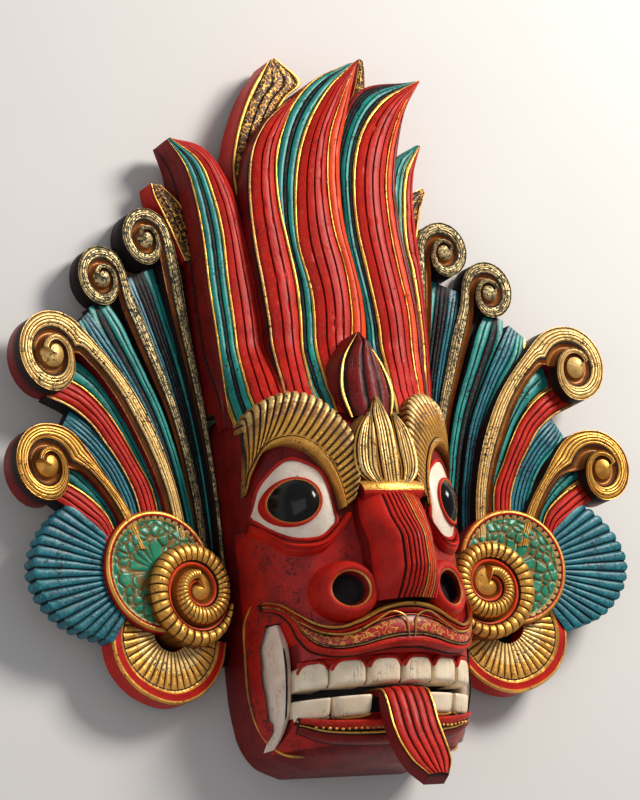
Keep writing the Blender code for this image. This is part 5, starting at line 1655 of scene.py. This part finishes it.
@dataclass
class Mouth:
    """Lips, gums, teeth, tusks and tongue, with the gold lines round them."""

    palette: Palette
    valley: float = 0.0014
    lip_rows: int = 150
    tooth_rows: int = 22
    tongue_rows: int = 120
    tongue_width: float = 54
    tongue_thickness: float = 15.3
    tusk_width: float = 16.1
    dab_count: int = 30

    def lips(self) -> list[Sheet]:
        """The upper lip with its gold roll and relief band, and the lower lip."""
        upper = (Band(0.19, Paint.GOLD, 0, 2.0), Band(0.12, Paint.RED, 0, 1.0), Band(0.045, Paint.ORANGE, 0,
            1.0), Band(0.37, Paint.LIP_RELIEF, 0, 0.5, 0, 0.6), Band(0.045, Paint.OLD_GOLD, 0, 1.0, 0, 0.6),
            Band(0.23, Paint.RED, 0, 2.0))
        # The lower lip's deep red band under its gold line is painted shade.
        lower = (Band(0.48, Paint.RED, 0, 2.0), Band(0.13, Paint.GOLD, 0, 1.2), Band(0.39, Paint.DEEP_RED,
            0, 1.0))
        made = []
        for edges, bands, at, lift, side, carve in (((LIP_TOP, LIP_BOTTOM), upper, (0, 0.05, 0.1, 0.2, 0.28,
                0.7, 0.9, 1), (5, 12, 15.5, 13.5, 11, 14, 11, 3), Paint.RED, 0.6), ((CHIN_TOP, CHIN_BOTTOM),
                lower, (0, 0.12, 0.3, 0.48, 0.62, 0.9, 1), (1, 6, 8, 6.6, 7, 7, 1), Paint.DEEP_RED, 0.5)):
            shape = columns(bands)
            rails = [spline(both_sides(edge), self.lip_rows) for edge in edges]
            height = (np.interp(shape.at, at, lift) + shape.lift)[None, :]
            made.append(on_head(between(rails, shape.at), height, shape.paint, side, 20, 0,
                shape.phase[None, :], carve * self.valley * shape.flute[None, :]))
        return made

    def tooth(self, span: tuple[float, float], root: float, edge: float, arch: float) -> Sheet:
        """A tooth with a rounded front and an arched root.

        Args:
            span: left and right ends.
            root: height up the mask of its root.
            edge: height of its biting edge.
            arch: how strongly the root is arched.

        Returns:
            The body.
        """
        share = np.linspace(0, 1, self.tooth_rows)
        keep = 1 - arch * np.clip((share - 0.55) / 0.45, 0, 1) ** 2.4
        across = np.linspace(-1, 1, 19)
        middle, half = (span[0] + span[1]) / 2, (span[1] - span[0]) / 2
        x = middle + half * keep[:, None] * across[None, :]
        y = np.broadcast_to((edge + (root - edge) * share)[:, None], x.shape)
        front = (1 - np.abs(across) ** 7)[None, :] * (1 - np.abs(2 * share - 1) ** 9)[:, None]
        lift = 1.0 + 8.5 * front ** 0.4
        return on_head(np.stack([x, y], -1), lift, Paint.IVORY, Paint.IVORY, drop=MOUTH_DROP)

    def tongue(self) -> Sheet:
        """The grooved tongue, a bent slab that hangs out of the mouth gap."""
        line = spline(TONGUE_PATH, self.tongue_rows)
        at = np.linspace(0, 1, self.tongue_rows)
        half = self.tongue_width / 2 * smooth(np.linspace(0, 1, len(TONGUE_SHARE)), TONGUE_SHARE, at)
        thick = np.interp(at, (0, 0.28, 0.45, 1), (7.2, 7.2, self.tongue_thickness, self.tongue_thickness))
        shape = columns((Band(0.07, Paint.GOLD, 0, 0.4), Band(0.86, Paint.RED, 4, 2.4), Band(0.07,
            Paint.GOLD, 0, 0.4)))
        tangent = np.gradient(line, axis=0)
        tangent /= np.linalg.norm(tangent, axis=1, keepdims=True)
        normal = np.stack([tangent[:, 1], -tangent[:, 0]], -1)
        x = half[:, None] * (2 * shape.at - 1)[None, :]
        upper = line[:, None, :] + normal[:, None, :] * shape.lift[None, :, None]
        sheet = grid_sheet(np.stack([x, upper[..., 0], upper[..., 1]], -1), shape.paint, 0.0,
            Paint.DEEP_RED, shape.phase[None, :], self.valley * shape.flute[None, :])
        wide = len(shape.at) + 2 * WALL_STEPS
        points = sheet.points.reshape(len(line), wide, 3)
        lower = line - normal * thick[:, None]
        for k, share in enumerate((1.0, 0.55, 0.15)):
            for column, edge in ((k, WALL_STEPS), (wide - 1 - k, wide - 1 - WALL_STEPS)):
                points[:, column, 0] = points[:, edge, 0]
                points[:, column, 1:] = points[:, edge, 1:] * (1 - share) + lower * share
        sheet.points = points.reshape(-1, 3)
        return sheet

    def tusk(self, extra: float = 0.0, raised: float = 0.0) -> Sheet:
        """A two-faceted tusk on the right-hand side, or its cutter.

        Args:
            extra: clearance round it.
            raised: how far its front is raised to cut free what lies over it.

        Returns:
            The body.
        """
        rows = 60
        line = spline(TUSK_PATH, rows)
        share = np.interp(np.linspace(0, 1, rows), np.linspace(0, 1, len(TUSK_SHARE)), TUSK_SHARE)
        across = np.array([-1, -0.93, -0.82, -0.6, -0.3, 0, 0.2, 0.3, 0.4, 0.52, 0.7, 0.85, 1])
        lift = np.interp(across, (-1, -0.9, -0.75, 0.2, 0.5, 0.8, 1), (-6, -3.4, -2, 0, -8, -20, -34))
        x = line[:, :1] + (self.tusk_width / 2 * share[:, None] + extra) * across[None, :]
        z = line[:, 2:] + lift[None, :] * np.clip(share, 0.4, 1)[:, None]
        y = np.broadcast_to(line[:, 1:2], x.shape).copy()
        y[0] += extra
        y[-1] -= extra
        floor = np.maximum(z.min(axis=1) - 6 - 2 * extra, 30 - 2 * extra)
        return grid_sheet(np.stack([x, y, z + extra + raised], -1), Paint.TUSK, floor, Paint.TUSK)

    def lines(self) -> list[tuple[Array, float, Paint]]:
        """Beads of paint laid on the carving: gums, jaw line and lip curls.

        Returns:
            For each bead its points, its radius in metres and its paint.
        """
        made = []
        for root, reach, spans, arch, radius, colour in ((22, 24, UPPER_TEETH, 0.46, 0.0013, Paint.RED),
                (-33, -20, LOWER_TEETH, 0.14, 0.0007, Paint.GOLD)):
            for low, high in spans:
                for side in (-1, 1):
                    x = np.linspace(low + 0.5, high - 0.5, 24)
                    y = root - reach * arch * np.abs(2 * (x - low) / (high - low) - 1) ** 3.2
                    points = np.stack([side * x, y, head(x, y, MOUTH_DROP) + 6.5], -1)
                    made.append((points, radius, colour))
        rim = np.vstack([spline(EYE_UPPER, 40), spline(EYE_LOWER, 40)[::-1], spline(EYE_UPPER, 40)[:1]])
        curl, jaw, crack = spline(LIP_CURL, 60), spline(JAW_LINE, 80), spline(TUSK_CRACK, 40)
        for side in (-1, 1):
            made.append((self.on_face(curl, 14.6) * (side, 1, 1), 0.0006, Paint.GOLD))
            made.append((jaw * (side, 1, 1), 0.0009, Paint.GOLD))
            made.append((crack * (side, 1, 1), 0.0006, Paint.DARK))
            made.append((self.on_face(rim, 3.6) * (side, 1, 1), 0.0012, Paint.RED))
        return made

    @staticmethod
    def on_face(plan: Array, lift: float) -> Array:
        """Plan points at a height over the face form."""
        return np.c_[plan, head(plan[:, 0], plan[:, 1]) + lift]

    def dabs(self) -> Array:
        """Points of the row of gold dabs on the lower lip."""
        x = np.linspace(-84, 84, self.dab_count)
        return self.on_face(np.c_[x, np.interp(np.abs(x), (0, 60, 84), (-45, -44, -40))], 10.2)

    def laid(self, name: str, tree: Tree, points: Sequence[Array], paint: Paint, **sizes: float) -> Item:
        """Lay beads or dabs along drawn points.

        Args:
            name: the piece's name.
            tree: the tree that makes them.
            points: polylines, or rows of single points.
            paint: their paint.
            **sizes: values of the tree's inputs.

        Returns:
            The finished piece.
        """
        carving = Carving(name, self.palette)
        count, edges = 0, []
        for line in points:
            edges += [(count + k, count + k + 1) for k in range(len(line) - 1)]
            count += len(line)
        data = bpy.data.meshes.new(name)
        data.from_pydata(carving.place(np.vstack(points)).tolist(), edges, [])
        layer = data.attributes.new("paint", "INT", "POINT")
        layer.data.foreach_set("value", np.full(count, paint, np.int32))
        item = bpy.data.objects.new(name, data)
        bpy.context.scene.collection.objects.link(item)
        return carving.seat(carving.carve(item, tree, **sizes), "face_block", "red_lacquer")

    def build(self, flutes: Tree, beads: Tree, dabs: Tree) -> list[Item]:
        """Carve the mouth and lay its lines.

        Args:
            flutes: the flute tree.
            beads: the tree of laid lines.
            dabs: the tree of dabs.

        Returns:
            The finished pieces.
        """
        teeth = [self.tooth(span, 21, -3, 0.46) for span in UPPER_TEETH]
        teeth += [self.tooth(span, -32, -12, 0.14) for span in LOWER_TEETH]
        lips = Carving("lips_and_teeth", self.palette)
        tongue = Carving("tongue_carving", self.palette)
        made = [lips.finish(self.lips() + with_mirror(teeth), flutes, "face_block", "red_lacquer",
            Seed=9.0), tongue.finish([self.tongue()], flutes, "tongue", "tongue_red", Rounding=0.2,
            Wander=0.2, Seed=10.0)]
        for side, word in ((-1, "left"), (1, "right")):
            carving = Carving(f"{word}_tusk_carving", self.palette, side=side)
            made.append(carving.finish([self.tusk()], flutes, f"{word}_tusk", "tusk_white", Grain=0.0004,
                Seed=11.0 + side))
        groups: dict[tuple[float, Paint], list[Array]] = {}
        for line, radius, paint in self.lines():
            groups.setdefault((radius, paint), []).append(line)
        for number, ((radius, paint), lines) in enumerate(groups.items()):
            made.append(self.laid(f"laid_lines_{number}", beads, lines, paint, Radius=radius))
        made.append(self.laid("lip_dabs", dabs, np.split(self.dabs(), self.dab_count), Paint.GOLD))
        return made


@dataclass
class Studio:
    """A plain pale floor, soft light and the camera that looks down on the lying mask."""

    turn: float = math.radians(29)
    lean: float = math.radians(13)
    distance: float = 3200
    focus: tuple[float, float, float] = (0, 0, 30)
    shift: tuple[float, float] = (-27, 198)
    dip: float = math.atan(100 / 3200)
    lens: float = 144
    floor_size: float = 6.0
    key_watts: float = 31.0
    fill_watts: float = 4.0
    sky: float = 0.3

    def axes(self) -> tuple[Vector, Vector, Vector]:
        """Right, up and backward directions of a level camera."""
        turn, lean = (np.array([math.cos(angle), math.sin(angle)]) for angle in (self.turn, self.lean))
        return (Vector((turn[0], -lean[1] * turn[1], lean[0] * turn[1])), Vector((0, *lean)),
            Vector((-turn[1], -lean[1] * turn[0], lean[0] * turn[0])))

    def camera(self) -> None:
        """Set the camera at the photograph's viewing angle."""
        right, up, back = self.axes()
        place = Vector(self.focus) + self.distance * back + self.shift[0] * right + self.shift[1] * up
        place *= UNIT
        place.y -= ORIGIN_Y * UNIT
        tilted_up = up * math.cos(self.dip) + back * math.sin(self.dip)
        tilted_back = back * math.cos(self.dip) - up * math.sin(self.dip)
        pose = Matrix((right, tilted_up, tilted_back)).transposed().to_4x4()
        pose.translation = place
        item = bpy.data.objects.new("camera", bpy.data.cameras.new("camera"))
        item.data.lens = self.lens
        item.matrix_world = pose
        bpy.context.scene.collection.objects.link(item)
        bpy.context.scene.camera = item

    def lamp(self, name: str, place: tuple[float, float, float], size: float, watts: float,
             colour: Colour) -> None:
        """Hang one square lamp that looks at the middle of the mask.

        Args:
            name: its name.
            place: its place in metres.
            size: its side.
            watts: its power.
            colour: its colour.
        """
        item = bpy.data.objects.new(name, bpy.data.lights.new(name, "AREA"))
        item.data.size = size
        item.data.energy = watts
        item.data.color = colour
        item.location = place
        item.rotation_euler = Vector(place).to_track_quat("Z", "Y").to_euler()
        bpy.context.scene.collection.objects.link(item)

    def floor(self) -> None:
        """Lay the pale floor just under the mask."""
        half = self.floor_size / 2
        data = bpy.data.meshes.new("floor")
        corners = [(x * half, y * half, -0.0005) for x, y in ((-1, -1), (1, -1), (1, 1), (-1, 1))]
        data.from_pydata(corners, [], [(0, 1, 2, 3)])
        item = bpy.data.objects.new("floor", data)
        paper = bpy.data.materials.new("pale_paper")
        paper.use_nodes = True
        wire = Wiring(paper.node_tree)
        surface = paper.node_tree.nodes["Principled BSDF"]
        place = wire.add("ShaderNodeTexCoord", "Object")
        tone = wire.mix(wire.noise(place, 6.0, 4), (0.64, 0.62, 0.6, 1), (0.69, 0.67, 0.65, 1))
        paper.node_tree.links.new(tone, surface.inputs["Base Color"])
        surface.inputs["Roughness"].default_value = 0.9
        data.materials.append(paper)
        bpy.context.scene.collection.objects.link(item)

    def build(self) -> None:
        """Set up floor, lamps, sky and camera."""
        self.floor()
        self.lamp("key_light", (0.85, 0.75, 1.15), 0.55, self.key_watts, (1.0, 0.96, 0.9))
        self.lamp("fill_light", (-1.3, -0.3, 0.9), 1.2, self.fill_watts, (0.92, 0.95, 1.0))
        world = bpy.data.worlds.new("studio_sky")
        world.use_nodes = True
        sky = world.node_tree.nodes["Background"]
        sky.inputs["Color"].default_value = (0.95, 0.96, 1.0, 1.0)
        sky.inputs["Strength"].default_value = self.sky
        bpy.context.scene.world = world
        bpy.context.scene.view_settings.view_transform = "Standard"
        self.camera()


def main() -> None:
    """Build the mask piece by piece, then the studio round it."""
    logging.basicConfig(level=logging.INFO, format="%(message)s")
    palette = Palette()
    flutes = flute_tree(palette)
    for side in (-1, 1):
        Wing(palette, side).build(flutes)
    Crest(palette).build(flutes)
    Face(palette).build(flutes)
    Mouth(palette).build(flutes, inlay_tree(palette), dab_tree(palette))
    Studio().build()


if __name__ == "__main__":
    main()
